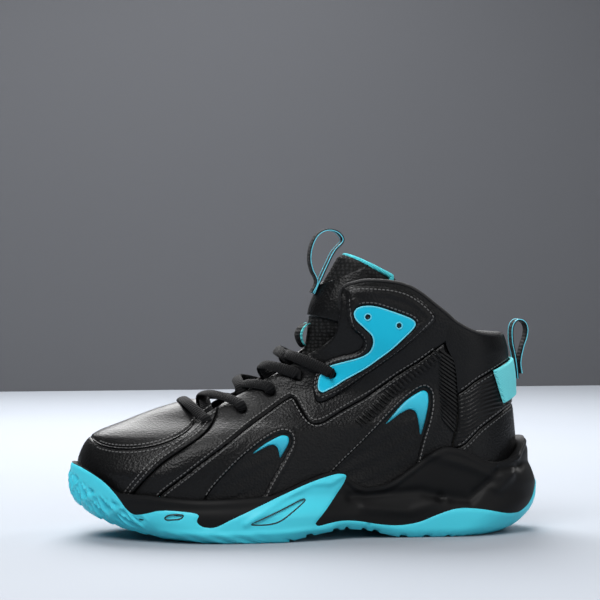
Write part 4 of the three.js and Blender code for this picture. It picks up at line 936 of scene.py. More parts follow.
def makeMidsole():
    columns = 2 * half
    side = turnSide[:, None]
    levels = 1 - (1 - np.linspace(0, 1, 46)) ** 1.25

    def rim(s, q): return np.where(s < 0, rimLateral(q), rimMedial(q))

    def height(s, q): return mix(groundZ(q) + 4.6, rim(s, q), levels[None])

    sides = np.broadcast_to(side, (columns, len(levels)))
    x, z = ringAt(turnShare[:, None] * np.ones_like(levels)[None], sides, height, soleFrontX, soleBackX)
    th = unrolled(sides, x, z)
    inside, _ = insideBy(th[..., 0], th[..., 1], rubberZone)
    under = rim(sides, x) - z
    lip = 0.6 * np.exp(-(((under - 2.2) / 1.6) ** 2)) - 0.25 * np.exp(-(((under - 5.6) / 1.6) ** 2))
    out = furrowed(np.where(x > 5, lip, 0.6 * lip), x, z, creases)
    facet = 0.9 * np.exp(-(((x - 90) / 22) ** 2 + ((z - 38) / 12) ** 2))
    out = (out + facet) * ease(-inside / 2 + 0.5)
    out = mix(np.minimum(out, mix(out, 0, ease((inside + 1) / 2))), -soleLook["rubber"] - 0.15,
        ease((inside - soleLook["flange"]) / 2))
    outer = soleWall(sides, x, z, out)
    inRows = np.linspace(0, 1, 14)

    def innerHeight(s, q): return mix(rim(s, q) - 0.3, np.minimum(featherZ(q), rim(s, q) - 3), inRows[None])

    sides2 = np.broadcast_to(side, (columns, len(inRows)))
    x2, z2 = ringAt(turnShare[:, None] * np.ones_like(inRows)[None], sides2, innerHeight, frontX, backX)
    inner = skin(sides2, x2, z2, 0.15)
    top = outer[:, -1]
    bead = np.stack([top + [0, 0, 0.45], mix(top, inner[:, 0], 0.5) + [0, 0, 0.7]], 1)
    grid = np.concatenate([outer, bead, inner], 1)
    rows = grid.shape[1]
    faces = ringFaces(rows, columns).reshape(-1, 4)
    faces = faces.tolist()
    faces += [f[::-1] for f in crossing(0, rows, columns)]
    faces += crossing(rows - 1, rows, columns)
    points = grid.reshape(-1, 3)
    quads = np.array([f for f in faces if len(f) == 4])
    if volumeOf(points, quads) < 0:
        faces = [f[::-1] for f in faces]
    return putMesh("foamMidsole", points, faces, foam, nodes=("midsole",), sharp=60, slotName="black_foam")


makeOutsole()
makeMidsole()
# Dark beads along the outlines of the two sole slots: painted shade in their debossed grooves.
slotShadeBead = {"radius": 0.42, "out": 0.45}
for number, slot in enumerate(slotLines):
    beading("soleSlotShadeLine%d" % (number + 1), -1, softened(slot), slotShadeBead["out"], darkPlasticAndPaintedShade, slotShadeBead["radius"], 90,
        True, soleWall, slotName="black_foam")
print("sole made")

# toe
toeLook = {"puff": 0.9, "roll": 1.3, "piping": 0.5}
wrapTop = rail(np.vstack([plugSeam, [(-68, 80.5)], throatEdge[:1]]))
plugShare = 0.775
wrapLow = rail([toeFeather, *alongFeather(-145, -141, -132), toeSeam[0]])
wrapCols = np.concatenate([plugShare * evenly(0, 1, 60) ** 2, plugShare + (1 - plugShare) * evenly(0, 1, 22)[1:]])


def wrapHigh(drop):
    z0 = plugSeam[0, 1] - drop

    def at(u):
        p = beside(wrapTop, -drop)(u)
        return np.where(np.asarray(u)[..., None] == 0, np.array([float(frontX(z0)), z0]), p)

    return at


def wrapGrid(drop, rows):
    start = centreLine(frontX, toeFeather[1], plugSeam[0, 1] - drop)
    end = rail(np.vstack([toeSeam[:-1] - [seam, 0], beside(wrapTop, -drop)(1.0)]))
    return roundToe(lambda side: patchwork(wrapLow, wrapHigh(drop), start, end, wrapCols, rows))


gridPanel("toeWrap", *wrapGrid(seam / 2, edgeDense(46)), pebbled, layer["panel"], toeLook["roll"], toeLook["puff"],
    nodes=("toe_wrap",), slotName="black_leather")


def toeLineAt(u): return float(ridgeHeight(u))


plugLow, plugHigh = plugSeam[0, 1] + 1.0, toeLineAt(-73)
plugTop = centreLine(frontX, plugLow, plugHigh)
plugUs = plugShare * evenly(0, 1, 60) ** 2


def plugRidge(us): return plugTop(us / plugShare)


def plugCrown(du, dv, inside): return 0.35 * np.sin(np.pi * np.clip(dv / dv[:, -1:], 0, 1)) ** 2


plugSide, plugX, plugZ = overRidge(beside(wrapTop, seam / 2), plugRidge, plugUs, 30)
gridPanel("vampPlug", plugSide, plugX, plugZ, smoothHide, (layer["panel"][0] - 0.2, layer["panel"][1]), 1.0, 0.4,
    shape=plugCrown, nodes=("vamp_plug",), slotName="black_leather")
wrapLine = wrapTop(evenly(0.02, plugShare * 0.98, 120))
sewing = []


def addSewing(low, *offsets, out=0.45):
    path = low if callable(low) else rail(low)
    for side in (-1, 1):
        for offset in offsets:
            sewing.append((side, beside(path, offset)(evenly(0.02, 0.98, 60)), out))


addSewing(wrapTop(evenly(0.03, 0.99, 60)), -2.6, 1.6, out=0.75)
both(lambda side, word: beading("mocPiping%s" % word.title(), side, wrapLine, 0.1, smoothHide, toeLook["piping"],
    slotName="black_leather"))
addSewing(toeSeam[:-1] + [-1.5, 1], 0.6, 3.0, out=1.0)
liningGrid = wrapGrid(0, evenly(0, 1, 12))
gridPanel("vampLining", *liningGrid, lining, layer["lining"], 0.5, nodes=("vamp_lining",), slotName="black_fabric")
print("toe made")

# quarters and eyestays
panelLook = {"puff": 0.75, "roll": 1.5, "step": 1.15}
topline = np.vstack([ankleFront, collarFront, [(85, 143.5)]])
seamLine = rail(quarterSeam)
eyestayHigh = rail(np.vstack([toeSeam + [0.25, -0.2], throatEdge[1:], topline]))
us = evenly(0, 1, 260)
eyestayOutline = np.vstack([beside(seamLine, seam / 2)(us), [(87.6, 125.5), (89.2, 132.5), (88.3, 140.6)],
    eyestayHigh(us[::-1])])
rearEdge = rail([*alongFeather(86), (89, 57), (92, 74), (92.5, 92), (90, 111), (84, 124), (85, 143.5)])
eyelets = [circle(p, 2.6) for p in laceRows[1:]]
both(lambda side, word: cutPanel("eyestay%s" % word.title(), side, eyestayOutline, pebbled, layer["panel"], eyelets,
    panelLook["step"], panelLook["roll"], panelLook["puff"],
    grooves=[(line((17, 158.5), (22, 150), (24, 143), (21, 136)), 1.4, 0.5)], nodes=("eyestay_" + word,),
    slotName="black_leather"))


def shareAt(z):
    u = evenly(0, 1, 2000)
    return float(u[np.abs(rearEdge(u)[:, 1] - z).argmin()])


quarterHigh = beside(seamLine, -seam / 2)
quarterTop = shareAt(float(quarterHigh(1.0)[1]))
quarterLow = rail(alongFeather(-100, -80, -50, -10, 30, 60, 86))
quarterOutline = np.vstack([quarterLow(us), rearEdge(us * quarterTop), quarterHigh(us[::-1])])
windows = [softened(frontWindow), softened(rearWindow)]


# Rolled edge round each window: a bead of leather a little in from the cut.
def windowBead(x, z):
    lifted = np.zeros(x.shape)
    for window in windows:
        d, _ = insideBy(x, z, window)
        lifted = lifted + 0.75 * np.exp(-(((-d - 2.2) / 1.3) ** 2))
    return lifted


both(lambda side, word: cutPanel("quarter%s" % word.title(), side, quarterOutline, pebbled, layer["panel"], windows,
    panelLook["step"], panelLook["roll"], panelLook["puff"], shape=windowBead, nodes=("quarter_" + word,),
    slotName="black_leather"))
addSewing(quarterSeam, -1.9, 1.9, out=0.75)
for window in windows:
    for side in (-1, 1):
        around = grownBy(window, 1.5)
        keep = around[:, 1] > featherZ(around[:, 0]) + 6
        first = int(np.argmax(~keep))
        sewing.append((side, np.roll(around, -first, 0)[np.roll(keep, -first)], 0.95))


# Backing cloth in the windows, sunk towards its middle and lightly creased.
def windowSink(outline, steep):
    def at(x, z):
        d, _ = insideBy(x, z, outline)
        return 0.9 * np.exp(-np.maximum(d, 0) / 4) + 0.22 * np.sin((z + steep * x) / 1.7) * np.clip(d / 5, 0, 1)

    return at


for name, window in (("front_window_panel", windows[0]), ("rear_window_panel", windows[1])):
    both(lambda side, word: cutPanel(name.split("_")[0] + "WindowPanel" + word.title(), side, grownBy(window, 3),
        pebbled, (layer["backing"][0] + 0.35, layer["backing"][1]), (), 1.3, 0.6, shape=windowSink(window, -0.45),
        nodes=(name + "_" + word,), slotName="black_fabric"))


def fangFinish(name, start, reach):
    f = Finish(name)
    ramp = ((f.part(f.place(), 2) * 1000 - start) / reach)
    colour = f.node("ShaderNodeValToRGB",
        {"stops": [(0.0, rgb(0.003, 0.10, 0.14)), (0.55, rgb(0.012, 0.36, 0.50)), (1.0, rgb(0.02, 0.55, 0.74))]},
        {"Fac": ramp}, out="Color")
    return f.surface(colour, 0.38 + 0.1 * f.noise(160, 2), f.noise(1500, 2), 0.08, 0.0002)


fangs = {"front": (frontFang, fangFinish("frontFangGloss", 51, 15), "frontFang"),
    "rear": (rearFang, fangFinish("rearFangGloss", 64, 28), "rearFang")}
for key, (outline, finish, title) in fangs.items():
    both(lambda side, word: cutPanel(title + word.title(), side, softened(outline), finish,
        (layer["fang"][0] - 0.1, layer["fang"][1]), (), 0.8, 0.7, 0.3, nodes=(key + "_fang_" + word,),
        slotName="cyan_plastic"))
print("quarters made")

# heel
heelLook = {"puff": 0.8, "cols": 56, "rib": 0.32}
heelCols = 1 - (1 - evenly(0, 1, heelLook["cols"])) ** 1.8
splitLow, splitHigh = shareAt(56), shareAt(91)


def behind(u): return rearEdge(u) + [0.9, 0]


def heelBandGrid(low, high, start, stop, rows):
    def edge(v):
        bow = behind(mix(start, stop, v))[..., 0] - mix(behind(start)[0], behind(stop)[0], v)
        p = mix(low(0.0), high(0.0), np.asarray(v)[..., None])
        return p + np.stack([bow, 0 * bow], -1)

    z0, z1 = float(low(1.0)[1]), float(high(1.0)[1])
    return roundHeel(lambda side: patchwork(low, high, edge, centreLine(backX, z0, z1), heelCols, rows))


# A seam across the heel from the rear edge, by these spots, to the centre line; it can be moved up a little.
def heelSeam(share, spots, top):
    return lambda dz: rail([tuple(behind(share) + [0, dz])] + [(x, z + dz) for x, z in spots] + [heelEdge(top + dz)])


lowSeam = heelSeam(splitLow, ((97, 58.5), (109, 69.5), (124.5, 79), (133, 82.5)), 83.5)
highSeam = heelSeam(splitHigh, ((99, 94.5), (106.5, 100), (117, 105.5), (128, 110.5)), 112)
heelBase = rail([tuple(behind(0.0)), *alongFeather(110, 130), heelFeather])
collarRear = rail([tuple(behind(1.0)), *collarBack[1:], heelEdge(129.5)])
rows = edgeDense(34)


def ribs(pitch, depth, lean):
    return lambda du, dv, inside: depth * np.sin((dv + lean * du) * 2 * np.pi / pitch) * ease((inside - 1.5) / 1.5)


gridPanel("heelFoxing", *heelBandGrid(heelBase, lowSeam(-seam / 2), 0.0, splitLow, rows), pebbled, layer["panel"], 1.4,
    heelLook["puff"], nodes=("heel_foxing",), slotName="black_leather")
gridPanel("heelRibbedPanel", *heelBandGrid(lowSeam(seam / 2), highSeam(-seam / 2), splitLow, splitHigh,
    edgeDense(90, 1.2)), smoothHide, layer["panel"], 1.2, 0.5, shape=ribs(2.6, heelLook["rib"], 0.35),
    nodes=("heel_panel",), slotName="black_leather")
gridPanel("heelCollar", *heelBandGrid(highSeam(seam / 2), collarRear, splitHigh, 1.0, rows), smoothHide, layer["panel"],
    1.4, 0.9, ends=False, shape=lambda du, dv, inside: -0.55 * (np.exp(-du / 4) + np.exp(-(du[-1:] - du) / 4)),
    nodes=("heel_collar",), slotName="black_fabric")
addSewing(lowSeam(0)(evenly(0, 0.95, 50)), -2.0, 1.8, out=0.75)
addSewing(highSeam(0)(evenly(0, 0.9, 50)), -1.8, 1.8, out=0.75)
print("heel made")

# lining and collar padding
collarLook = {"fill": 0.6, "thin": 0.8, "swell": 5.2}
bindingLook = {"wide": 6.4, "high": 3.4, "inset": -2.6}
liningFront = [(-96, float(feather(-96))), (-90, 40), (-82, 58), (-73, 76)]
quarterLiningGrid = roundHeel(
    lambda side: patchwork(rail(liningFront[:1] + alongFeather(-90, -50, -10, 30, 70, 110, 130) + [heelFeather]),
    rail(np.vstack([[(-73, 76), (-68, 80)], throatEdge, topline, collarBack[1:], [heelEdge(129)]])), rail(liningFront),
    centreLine(backX, heelFeather[1], 129), 1 - (1 - evenly(0, 1, 120)) ** 1.5, edgeDense(40, 1.3)))
gridPanel("quarterLining", *quarterLiningGrid, collarCloth, layer["lining"], 0.8, nodes=("quarter_lining",),
    slotName="black_fabric")
padTop = [(25, 160), (34, 162.4), (49, 161.4), (58.5, 159), (67, 154.5), (83, 142), (92, 134.5), (103.5, 129),
    (114, 127)]
padGrid = roundHeel(lambda side: patchwork(rail([(27, 122), (60, 114), (95, 107), heelEdge(104)]),
    rail(padTop + [heelEdge(126.6)]), straight((27, 122), (25, 160)), centreLine(backX, 104, 126.6),
    1 - (1 - evenly(0, 1, 90)) ** 1.6, edgeDense(26, 1.4)))


# The collar's padding: a crowned roll whose inner face bulges towards the foot, full along the topline.
def makePad():
    side, x, z = padGrid
    v = np.linspace(0, 1, x.shape[1])[None] * np.ones(x.shape)
    u = np.abs(np.linspace(-1, 1, x.shape[0]))[:, None] * np.ones(x.shape)
    swell = np.sqrt(np.maximum(0, 1 - (2 * v - 1) ** 4)) * np.sqrt(np.maximum(0, 1 - u ** 12))
    outer = skin(side, x, z, layer["lining"][1] - 0.3 - collarLook["thin"] * (1 - swell))
    inner = skin(side, x, z, layer["lining"][1] - collarLook["thin"] - collarLook["swell"] * swell)
    pad = putSheet("collarPad", outer, inner, collarCloth, nodes=("collar_pad",), slotName="black_fabric")


makePad()
# binding along the topline, from the throat's top round the heel, closing the leather to the lining
bindLine = np.vstack([ankleFront[1:] + [1.0, 0], collarFront + [0, -0.6], collarBack + [0, -0.4]])
lateralBind = rail(bindLine)(evenly(0, 1, 160))
bindX = np.concatenate([lateralBind[:, 0], [heelEdge(129.3)[0]], lateralBind[::-1, 0]])
bindZ = np.concatenate([lateralBind[:, 1], [129.3], lateralBind[::-1, 1]])
bindSide = np.concatenate([-np.ones(161), np.ones(160)])
bindPoints = skin(bindSide, bindX, bindZ, np.full(len(bindX), bindingLook["inset"]))
sweep("toplineBinding", resample(bindPoints, 420), np.tile([0.0, 0.0, 1.0], (420, 1)), bindingLook["wide"],
    bindingLook["high"], collarCloth, 14, slotName="black_fabric")
print("collar made")

# ankle frame and plate
ankleLook = {"bead": 1.1, "plateRoll": 0.6}
overlayOutline, plateOutline = softened(ankleOverlay), softened(anklePlate)
ankleHole = circle(laceRows[4], 2.7)


def frameBead(x, z):
    d, _ = insideBy(x, z, overlayOutline)
    e, _ = insideBy(x, z, plateOutline)
    bead = np.exp(-(((d - 4.2) / 2.6) ** 2)) + 0.7 * np.exp(-(((-e - 4) / 3) ** 2)) * (e < 0)
    return ankleLook["bead"] * bead - 0.5 * np.exp(-((e / 1.2) ** 2))


both(lambda side, word: cutPanel("ankleOverlay" + word.title(), side, overlayOutline, pebbled, layer["overlay"],
    (ankleHole,), 1.1, 1.4, 0.2, shape=frameBead, nodes=("ankle_overlay_" + word,), slotName="black_fabric"))
both(lambda side, word: cutPanel("anklePlate" + word.title(), side, plateOutline, plate, layer["plate"],
    [ankleHole] + [circle(p, 1.75, 16) for p in spareHoles], 0.85, ankleLook["plateRoll"], 0.15,
    nodes=("ankle_plate_" + word,), slotName="cyan_plastic"))


def plateEdge(side, word):
    beading("plateEdge" + word.title(), side, grownBy(plateOutline, -0.3), layer["plate"][0] - 0.25, paleEdge, 0.5, 260,
        True, slotName="cyan_plastic")
    for number, spot in enumerate(spareHoles):
        beading("holeRim%s%d" % (word.title(), number + 1), side, circle(spot, 2.0, 14), layer["plate"][0] + 0.1,
            paleEdge, 0.42, 40, True, slotName="cyan_plastic")
        # A dark disc in each spare hole: painted shade for the inside of the open hole.
        beading("laceHoleShade%s%d" % (word.title(), number + 1), side, circle(spot, 0.9, 10), layer["overlay"][0] + 0.2,
            darkPlasticAndPaintedShade, 0.9, 24, True, slotName="black_plastic")


both(plateEdge)
for side in (-1, 1):
    around = grownBy(overlayOutline, -1.9)
    sewing.append((side, np.vstack([around, around[:1]]), layer["overlay"][0] + 0.75))
    around = grownBy(plateOutline, 2.2)
    sewing.append((side, np.vstack([around, around[:1]]), layer["overlay"][0] + 0.65))
print("ankle made")

# ribs of the quarter
ribLook = {"pitch": 2.9, "radius": 1.1, "blockPitch": 2.5}


# Short bars from one line to another, at even shares, as one mesh.
def ribRow(name, side, low, high, out, radius, pitch, finish):
    a, b = rail(low), rail(high)
    length = np.linalg.norm(np.diff(a(evenly(0, 1, 50)), axis=0), axis=1).sum()
    shares = evenly(0.01, 0.99, int(length / pitch))
    p, n = onSkin(side, a(shares), out)
    q, _ = onSkin(side, b(shares), out)
    return spindles(name, p, q, n, radius, finish, 0.8)


stripLow = line((30.6, 70.7), (37.6, 76.5), (52.1, 89.7), (64.6, 100.2), (75.1, 108), (82.6, 115.5))
stripHigh = line((25.4, 75.3), (32.4, 81.1), (46.9, 94.3), (59.4, 104.8), (69.9, 112.6), (77.4, 120.1))
blockLeft = line((80, 121), (80.5, 112), (81, 100), (81.5, 88), (82, 76))
blockRight = line((90.5, 113.5), (92, 103), (92.6, 92), (92.4, 80), (91, 66))
both(lambda side, word: ribRow("ribStrip" + word.title(), side, stripLow, stripHigh, 1.25, ribLook["radius"],
    ribLook["pitch"], smoothHide))
both(lambda side, word: ribRow("ribBlock" + word.title(), side, blockLeft, blockRight, 1.1, 1.0, ribLook["blockPitch"],
    smoothHide))
stitches("seamStitches", sewing, thread)
print("stitches made")

# tongue
tongueLook = {"side": 2.8, "thick": 5.4, "fill": 0.5, "roll": 1.2}
tongueEdge = rail([(-82, 70), (-55, 74), (-20, 82), (18, 102), (46, 128), (54, 150), (56, 166)])
tongueStart, tongueTop = toeLineAt(-92), 189.0


def tongueGrid(low, high, edge, us, rows): return overRidge(edge, centreLine(frontX, low, high), us, rows)


def tongueFace(lift, v): return layer["tongue"] + lift - tongueLook["side"] * (2 * v - 1) ** 4


def makeTongue():
    us = edgeDense(90, 1.3)
    side, x, z = tongueGrid(tongueStart, tongueTop, tongueEdge, us, 30)
    v = np.linspace(0, 1, x.shape[1])[None] * np.ones(x.shape)
    u = us[:, None] * np.ones(x.shape)
    roundness = np.sqrt(np.maximum(0.02, 1 - (2 * v - 1) ** 10))
    roundness = roundness * np.sqrt(np.clip((1 - u) / 0.03, 0.02, 1)) * np.sqrt(np.clip(u / 0.02, 0.1, 1))
    thick = tongueLook["thick"] * (0.4 + 0.6 * ease(2 * u))
    centre = tongueFace(-thick / 2, v)
    channels = 0.5 * np.exp(-(((v - 0.5) / 0.015) ** 2)) * (u < 0.55)
    outer = skin(side, x, z, centre + thick / 2 * roundness - channels)
    inner = skin(side, x, z, centre - thick / 2 * roundness)
    tongue = putSheet("tongueFoam", outer, inner, airMesh, body="tongue", nodes=("tongue",), slotName="black_fabric")


makeTongue()


# A strip of the tongue between two shares of its height and width, laid over it.
def tonguePanel(name, fromU, toU, fromV, toV, outer, inner, finish, puff, edge=tongueEdge, low=tongueStart,
        high=tongueTop, **more):
    side, x, z = tongueGrid(low, high, edge, mix(fromU, toU, evenly(0, 1, 40)), 30)
    keep = slice(int(round(fromV * 60)), int(round(toV * 60)) + 1)
    side, x, z = side[:, keep], x[:, keep], z[:, keep]
    v = np.linspace(fromV, toV, x.shape[1])[None] * np.ones(x.shape)
    drop = tongueFace(0, v) - layer["tongue"]
    du, dv = gridRuns(skin(side, x, z, outer + drop))
    inside = np.minimum(np.minimum(dv, dv[:, -1:] - dv), np.minimum(du, du[-1:] - du))
    top = skin(side, x, z, rolled(inside, outer, inner, tongueLook["roll"], puff) + drop)
    return putSheet(name, top, skin(side, x, z, inner + drop), finish, body="tongue", **more)


patchEdge = rail([(36, 126), (38, 150), (34, 177)])
tonguePanel("tonguePatch", 0.0, 1.0, 0.0, 1.0, layer["tongue"] + 1.5, layer["tongue"] + 0.15, pebbled, 0.5, patchEdge,
    144, 168, nodes=("tongue_patch",), slotName="black_leather")
tonguePanel("tongueLining", 10 / 16, 1.0, 0.03, 0.97, layer["tongue"] - 5.9, layer["tongue"] - 7.2, cyanCloth, 0.1,
    nodes=("tongue_lining",), slotName="cyan_fabric")


# Cyan binding round the tongue's top, between the mesh and the lining.
def makeTongueBinding():
    us = evenly(0.72, 1, 60)
    side, x, z = tongueGrid(tongueStart, tongueTop, tongueEdge, us, 30)
    column = [(side[i, 1], x[i, 1], z[i, 1]) for i in range(60)] + [(side[-1, j], x[-1, j], z[-1, j])
        for j in range(2, 59)] + [(side[i, -2], x[i, -2], z[i, -2]) for i in range(59, -1, -1)]
    s, x, z = np.array(column).T
    p = resample(skin(s, x, z, np.full(len(s), layer["tongue"] - 3.6)), 220)
    return sweep("tongueBinding", p, np.tile([0.3, 0, 1.0], (220, 1)), 3.4, 3.2, cyanCloth, 12, body="tongue",
        slotName="cyan_fabric")


makeTongueBinding()


# webbing loops and keeper
# Smooth line through points that bends evenly where their spacing is uneven.
def centripetal(points, count):
    p = np.array(points, float)
    p = np.vstack([2 * p[0] - p[1], p, 2 * p[-1] - p[-2]])
    out = []
    t = np.linspace(0, 1, 30, endpoint=False)[:, None]
    for a, b, c, d in zip(p[:-3], p[1:-2], p[2:-1], p[3:]):
        da, db, dc = (max(np.linalg.norm(q - r) ** 0.5, 1e-4) for q, r in ((b, a), (c, b), (d, c)))
        m1 = ((b - a) / da - (c - a) / (da + db) + (c - b) / db) * db
        m2 = ((c - b) / db - (d - b) / (db + dc) + (d - c) / dc) * db
        out.append((2 * t**3 - 3 * t**2 + 1) * b + (t**3 - 2 * t**2 + t) * m1 + (3 * t**2 - 2 * t**3) * c
            + (t**3 - t**2) * m2)
    return resample(np.vstack(out + [p[-2:-1]]), count)


# A spot on the centre line at a height and a distance from the skin.
def inPlane(z, out, edge=frontX, step=-1):
    p = skin(1.0, float(edge(z)) + step, float(z), float(out))
    return np.array([p[0], p[2]])


loopLook = {"width": 10, "thick": 1.3}


def makeLoop(name, path, body, node):
    p = centripetal(path, 150)
    p = np.stack([p[:, 0], np.zeros(len(p)), p[:, 1]], 1)
    ahead = np.gradient(p, axis=0)
    up = np.stack([-ahead[:, 2], 0 * ahead[:, 0], ahead[:, 0]], 1)
    up /= np.linalg.norm(up, axis=1)[:, None]
    for number, y in enumerate((-1, 1)):
        edge = p + [0, y * (loopLook["width"] / 2 - 0.1), 0] + up * loopLook["thick"] * 0.42
        sweep(name + "Edge%d" % (number + 1), edge, up, 0.9, 0.6, paleEdge, 8, body=body, slotName="cyan_fabric")
    return sweep(name, p, up, loopLook["width"], loopLook["thick"], loopWeb, 16, square=0.5, body=body, nodes=(node,),
        slotName="black_fabric")


inner = layer["tongue"] - 0.15 + 0.3 + 1.2 + 0.75 + 0.65
outerRun = inner + 1.3 + 0.75
top = inPlane(188, inner)
makeLoop("tongueLoop", [inPlane(161, inner - 1.5), inPlane(168, inner - 1.0), inPlane(178, inner),
    inPlane(188, inner + 0.6)]
    + [top + d for d in ((5.6, 8), (2.2, 13.1), (-4.8, 14.8), (-11.2, 11.8), (-15.4, 4.5), (-16.8, -4.5),
    (-15.4, -11.5))] + [inPlane(168, outerRun - 1.0), inPlane(161, outerRun - 1.5)], "tongue_pull", "tongue_loop")
inner = layer["overlay"][0] + 0.75 + 0.65
top = inPlane(123, inner, backX, 1)
makeLoop("heelLoop", [inPlane(z, inner, backX, 1) for z in (99, 107, 115, 123)]
    + [top + d for d in ((0.4, 10.2), (3.2, 13.6), (7.2, 12.8), (9.4, 8.6), (8.8, 2.4), (6.8, -3.4))]
    + [inPlane(z, inner + 2.05, backX, 1) for z in (109, 102)], "heel_pull", "heel_loop")

bandGrid = roundHeel(lambda side: patchwork(straight((124.5, 84.5), heelEdge(89.5)),
    straight((117, 106), heelEdge(113)), straight((124.5, 84.5), (117, 106)), centreLine(backX, 89.5, 113),
    1 - (1 - evenly(0, 1, 50)) ** 1.8, edgeDense(26)))
gridPanel("heelBand", *bandGrid, bandCloth, (layer["overlay"][0] + 0.3, layer["overlay"][1] - 0.6), 0.8, 0.35,
    nodes=("heel_band",), slotName="cyan_fabric")

keeperRange, keeperRise = (124, 137), 5.4
kside, kx, kz = tongueGrid(*keeperRange,
    lambda u: np.stack([frontX(mix(124, 137, u)) + 3.4, mix(124, 137, np.asarray(u, float))], -1), evenly(0, 1, 30), 12)
rise = layer["tongue"] - 0.15 + 1.45 + keeperRise * np.sin(np.pi * np.clip(evenly(0, 1, 30), 0, 1))[:, None] ** 0.6
keeperPoints = np.stack([skin(kside, kx, kz, rise + 1.3), skin(kside, kx, kz, rise * np.ones(kx.shape))])
kv = np.stack([np.linspace(0, 1, kx.shape[1])[None] * np.ones(kx.shape),
    evenly(0, 0.013, 30)[:, None] * np.ones(kx.shape)], -1).reshape(-1, 2)
putMesh("laceKeeper", keeperPoints, turnedOut(keeperPoints, sheetFaces(*kx.shape)), keeperWeb, "tongue",
    ("lace_keeper",), np.vstack([kv, kv]), slotName="black_fabric")
print("tongue made")

# lace
laceLook = {"wide": 7.2, "high": 3.1, "leave": -4.0, "arrive": 0.2, "lift": 3.8, "under": -8.9, "over": 2.2,
    "across": (86, 93.5, 103.5, 113.5, 123)}
rowX, rowZ = np.array(laceRows).T


def towardsRidge(row, share):
    i = min(len(laceRows) - 2, int(row))
    t = row - i
    hx, hz = mix(rowX[i], rowX[i + 1], t), mix(rowZ[i], rowZ[i + 1], t)
    top = mix(laceLook["across"][i], laceLook["across"][i + 1], t)
    s = share ** 1.7
    return mix(hx, float(frontX(top)), s), mix(hz, top, s)


def laceHalf(first):
    path = []
    lift = laceLook["lift"] if first > 0 else 0
    for i, (x, z) in enumerate(laceRows):
        side = first if i % 2 == 0 else -first
        raised = layer["plate"][0] if i == len(laceRows) - 1 else 0
        path += [(side, *towardsRidge(i, 0.42), laceLook["over"] + raised * 0.6),
            (side, x - 0.6, z + 1, laceLook["over"] + raised - 0.5), (side, x, z, -3.55 + raised * 0.5),
            (side, x + 0.4, z + 0.4, laceLook["under"] + 0.4)]
        if i < len(laceRows) - 1:
            path += [(side, *towardsRidge(i + 0.3, 0.55), laceLook["under"]),
                (side, *towardsRidge(i + 0.45, 0.92), laceLook["leave"] + lift),
                (-side, *towardsRidge(i + 0.58, 0.9), laceLook["arrive"] + lift)]
    return path


def tail(side): return [(side, 15, 97, laceLook["under"]), (side, 13, 87, laceLook["under"]),
        (side, 9, 78, laceLook["under"])]


bar = [(1, *towardsRidge(0, 0.86), laceLook["over"] + 1), (-1, *towardsRidge(0, 0.86), laceLook["over"] + 1)]
lacePath = (laceHalf(1) + tail(1))[::-1] + bar + laceHalf(-1) + tail(-1)
spots = np.array(lacePath, float)
laceAt = centripetal(skin(spots[:, 0], spots[:, 1], spots[:, 2], spots[:, 3]), 900)
laceOutward = centripetal(skin(spots[:, 0], spots[:, 1], spots[:, 2], spots[:, 3] + 6), 900) - laceAt
sweep("laceBraid", laceAt, laceOutward, laceLook["wide"], laceLook["high"], laceWeb, 14, nodes=("lace",),
    slotName="black_fabric")
print("lace made")

# inside
footbedLook = {"half": 110, "over": 7.2, "crown": 0.5, "inset": -9.2, "thick": 4.3}
sockSide, sockShare = ringSides(footbedLook["half"])
sockX, sockZ = ringAt(sockShare, sockSide, lambda side, x: featherZ(x) + footbedLook["over"], frontX, backX)
edge = skin(sockSide, sockX, sockZ, footbedLook["inset"])
top = np.stack([edge[:, 0], edge[:, 1], sockZ + footbedLook["crown"]], -1)
sockPoints = np.stack([top - [0, 0, footbedLook["thick"]], top], 1).reshape(-1, 3)
columns = 2 * footbedLook["half"]
sockWall = ringFaces(2, columns).reshape(-1, 4)
sockFaces = sockWall.tolist() + [f[::-1] for f in crossing(0, 2, columns)] + crossing(1, 2, columns)
if volumeOf(sockPoints, sockWall) < 0:
    sockFaces = [f[::-1] for f in sockFaces]
putMesh("footbed", sockPoints, sockFaces, cyanCloth, nodes=("sockliner",), slotName="cyan_fabric")
for node, finish in (("insole_board", board), ("toe_puff", board), ("heel_counter", board),
        ("shank_plate", darkPlasticAndPaintedShade)):
    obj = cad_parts[node]
    obj.data.materials.clear()
    obj.data.materials.append(finish)
print("inside made")

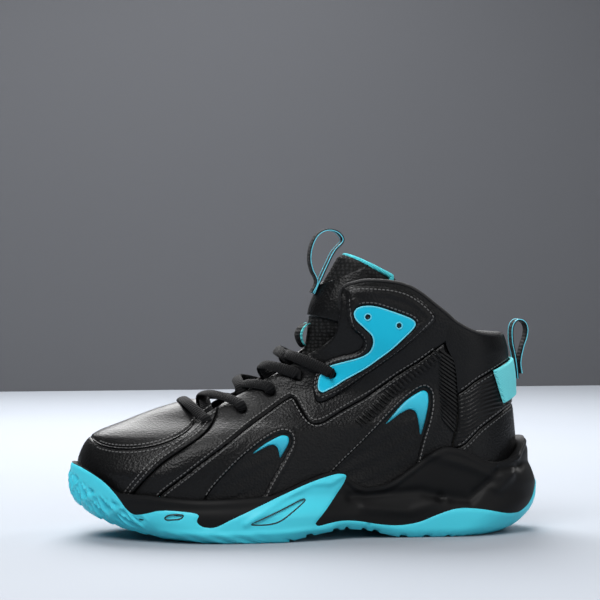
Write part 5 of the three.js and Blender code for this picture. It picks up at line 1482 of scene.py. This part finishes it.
# floor, backdrop and lamps
floorFinish = Finish("paleFloor")
floorFinish.surface(floorFinish.mix(floorFinish.noise(2, 2), rgb(0.33, 0.355, 0.395), rgb(0.36, 0.385, 0.425)), 0.75,
    Specular_IOR_Level=0.1)
wallFinish = Finish("greyBackdrop")
wallFinish.surface(wallFinish.mix(wallFinish.noise(1, 1), rgb(0.082, 0.084, 0.092), rgb(0.096, 0.098, 0.107)), 0.9)


def plane(name, corners, finish):
    data = bpy.data.meshes.new(name)
    data.from_pydata(corners, [], [(0, 1, 2, 3)])
    obj = bpy.data.objects.new(name, data)
    bpy.context.collection.objects.link(obj)
    data.materials.append(finish.material)


stage = {"floor": 4, "wall": 6, "wallAt": 1.5, "wallTop": 5, "wallFoot": -0.5}
wide, far, behindAll = stage["floor"], stage["wall"], stage["wallAt"]
plane("floor", [(-wide, -wide, 0), (wide, -wide, 0), (wide, behindAll, 0), (-wide, behindAll, 0)], floorFinish)
plane("backdrop", [(-far, behindAll, stage["wallFoot"]), (far, behindAll, stage["wallFoot"]),
    (far, behindAll, stage["wallTop"]), (-far, behindAll, stage["wallTop"])], wallFinish)

lamps = {"key": ((-0.7, -1.2, 1.7), 1.1, 37), "top": ((-0.1, 0.95, 1.15), 1.1, 40), "rim": ((1.2, 0.5, 0.9), 0.6, 8),
    "fill": ((1.1, -1.8, 0.7), 1.4, 8), "over": ((0, 0.2, 2.0), 1.2, 8)}
for name, (place, size, power) in lamps.items():
    light = bpy.data.lights.new(name, "AREA")
    light.size, light.energy = size, power
    obj = bpy.data.objects.new(name, light)
    bpy.context.collection.objects.link(obj)
    obj.location = place
    obj.rotation_euler = (Vector((0, 0, 0.08)) - Vector(place)).to_track_quat("-Z", "Y").to_euler()
surround = {"colour": rgb(0.62, 0.66, 0.72), "strength": 0.12}
world = bpy.data.worlds.new("studio")
world.use_nodes = True
world.node_tree.nodes["Background"].inputs["Color"].default_value = surround["colour"]
world.node_tree.nodes["Background"].inputs["Strength"].default_value = surround["strength"]
bpy.context.scene.world = world
bpy.context.scene.view_settings.view_transform = "Standard"
print("stage set")

bpy.context.view_layer.update()
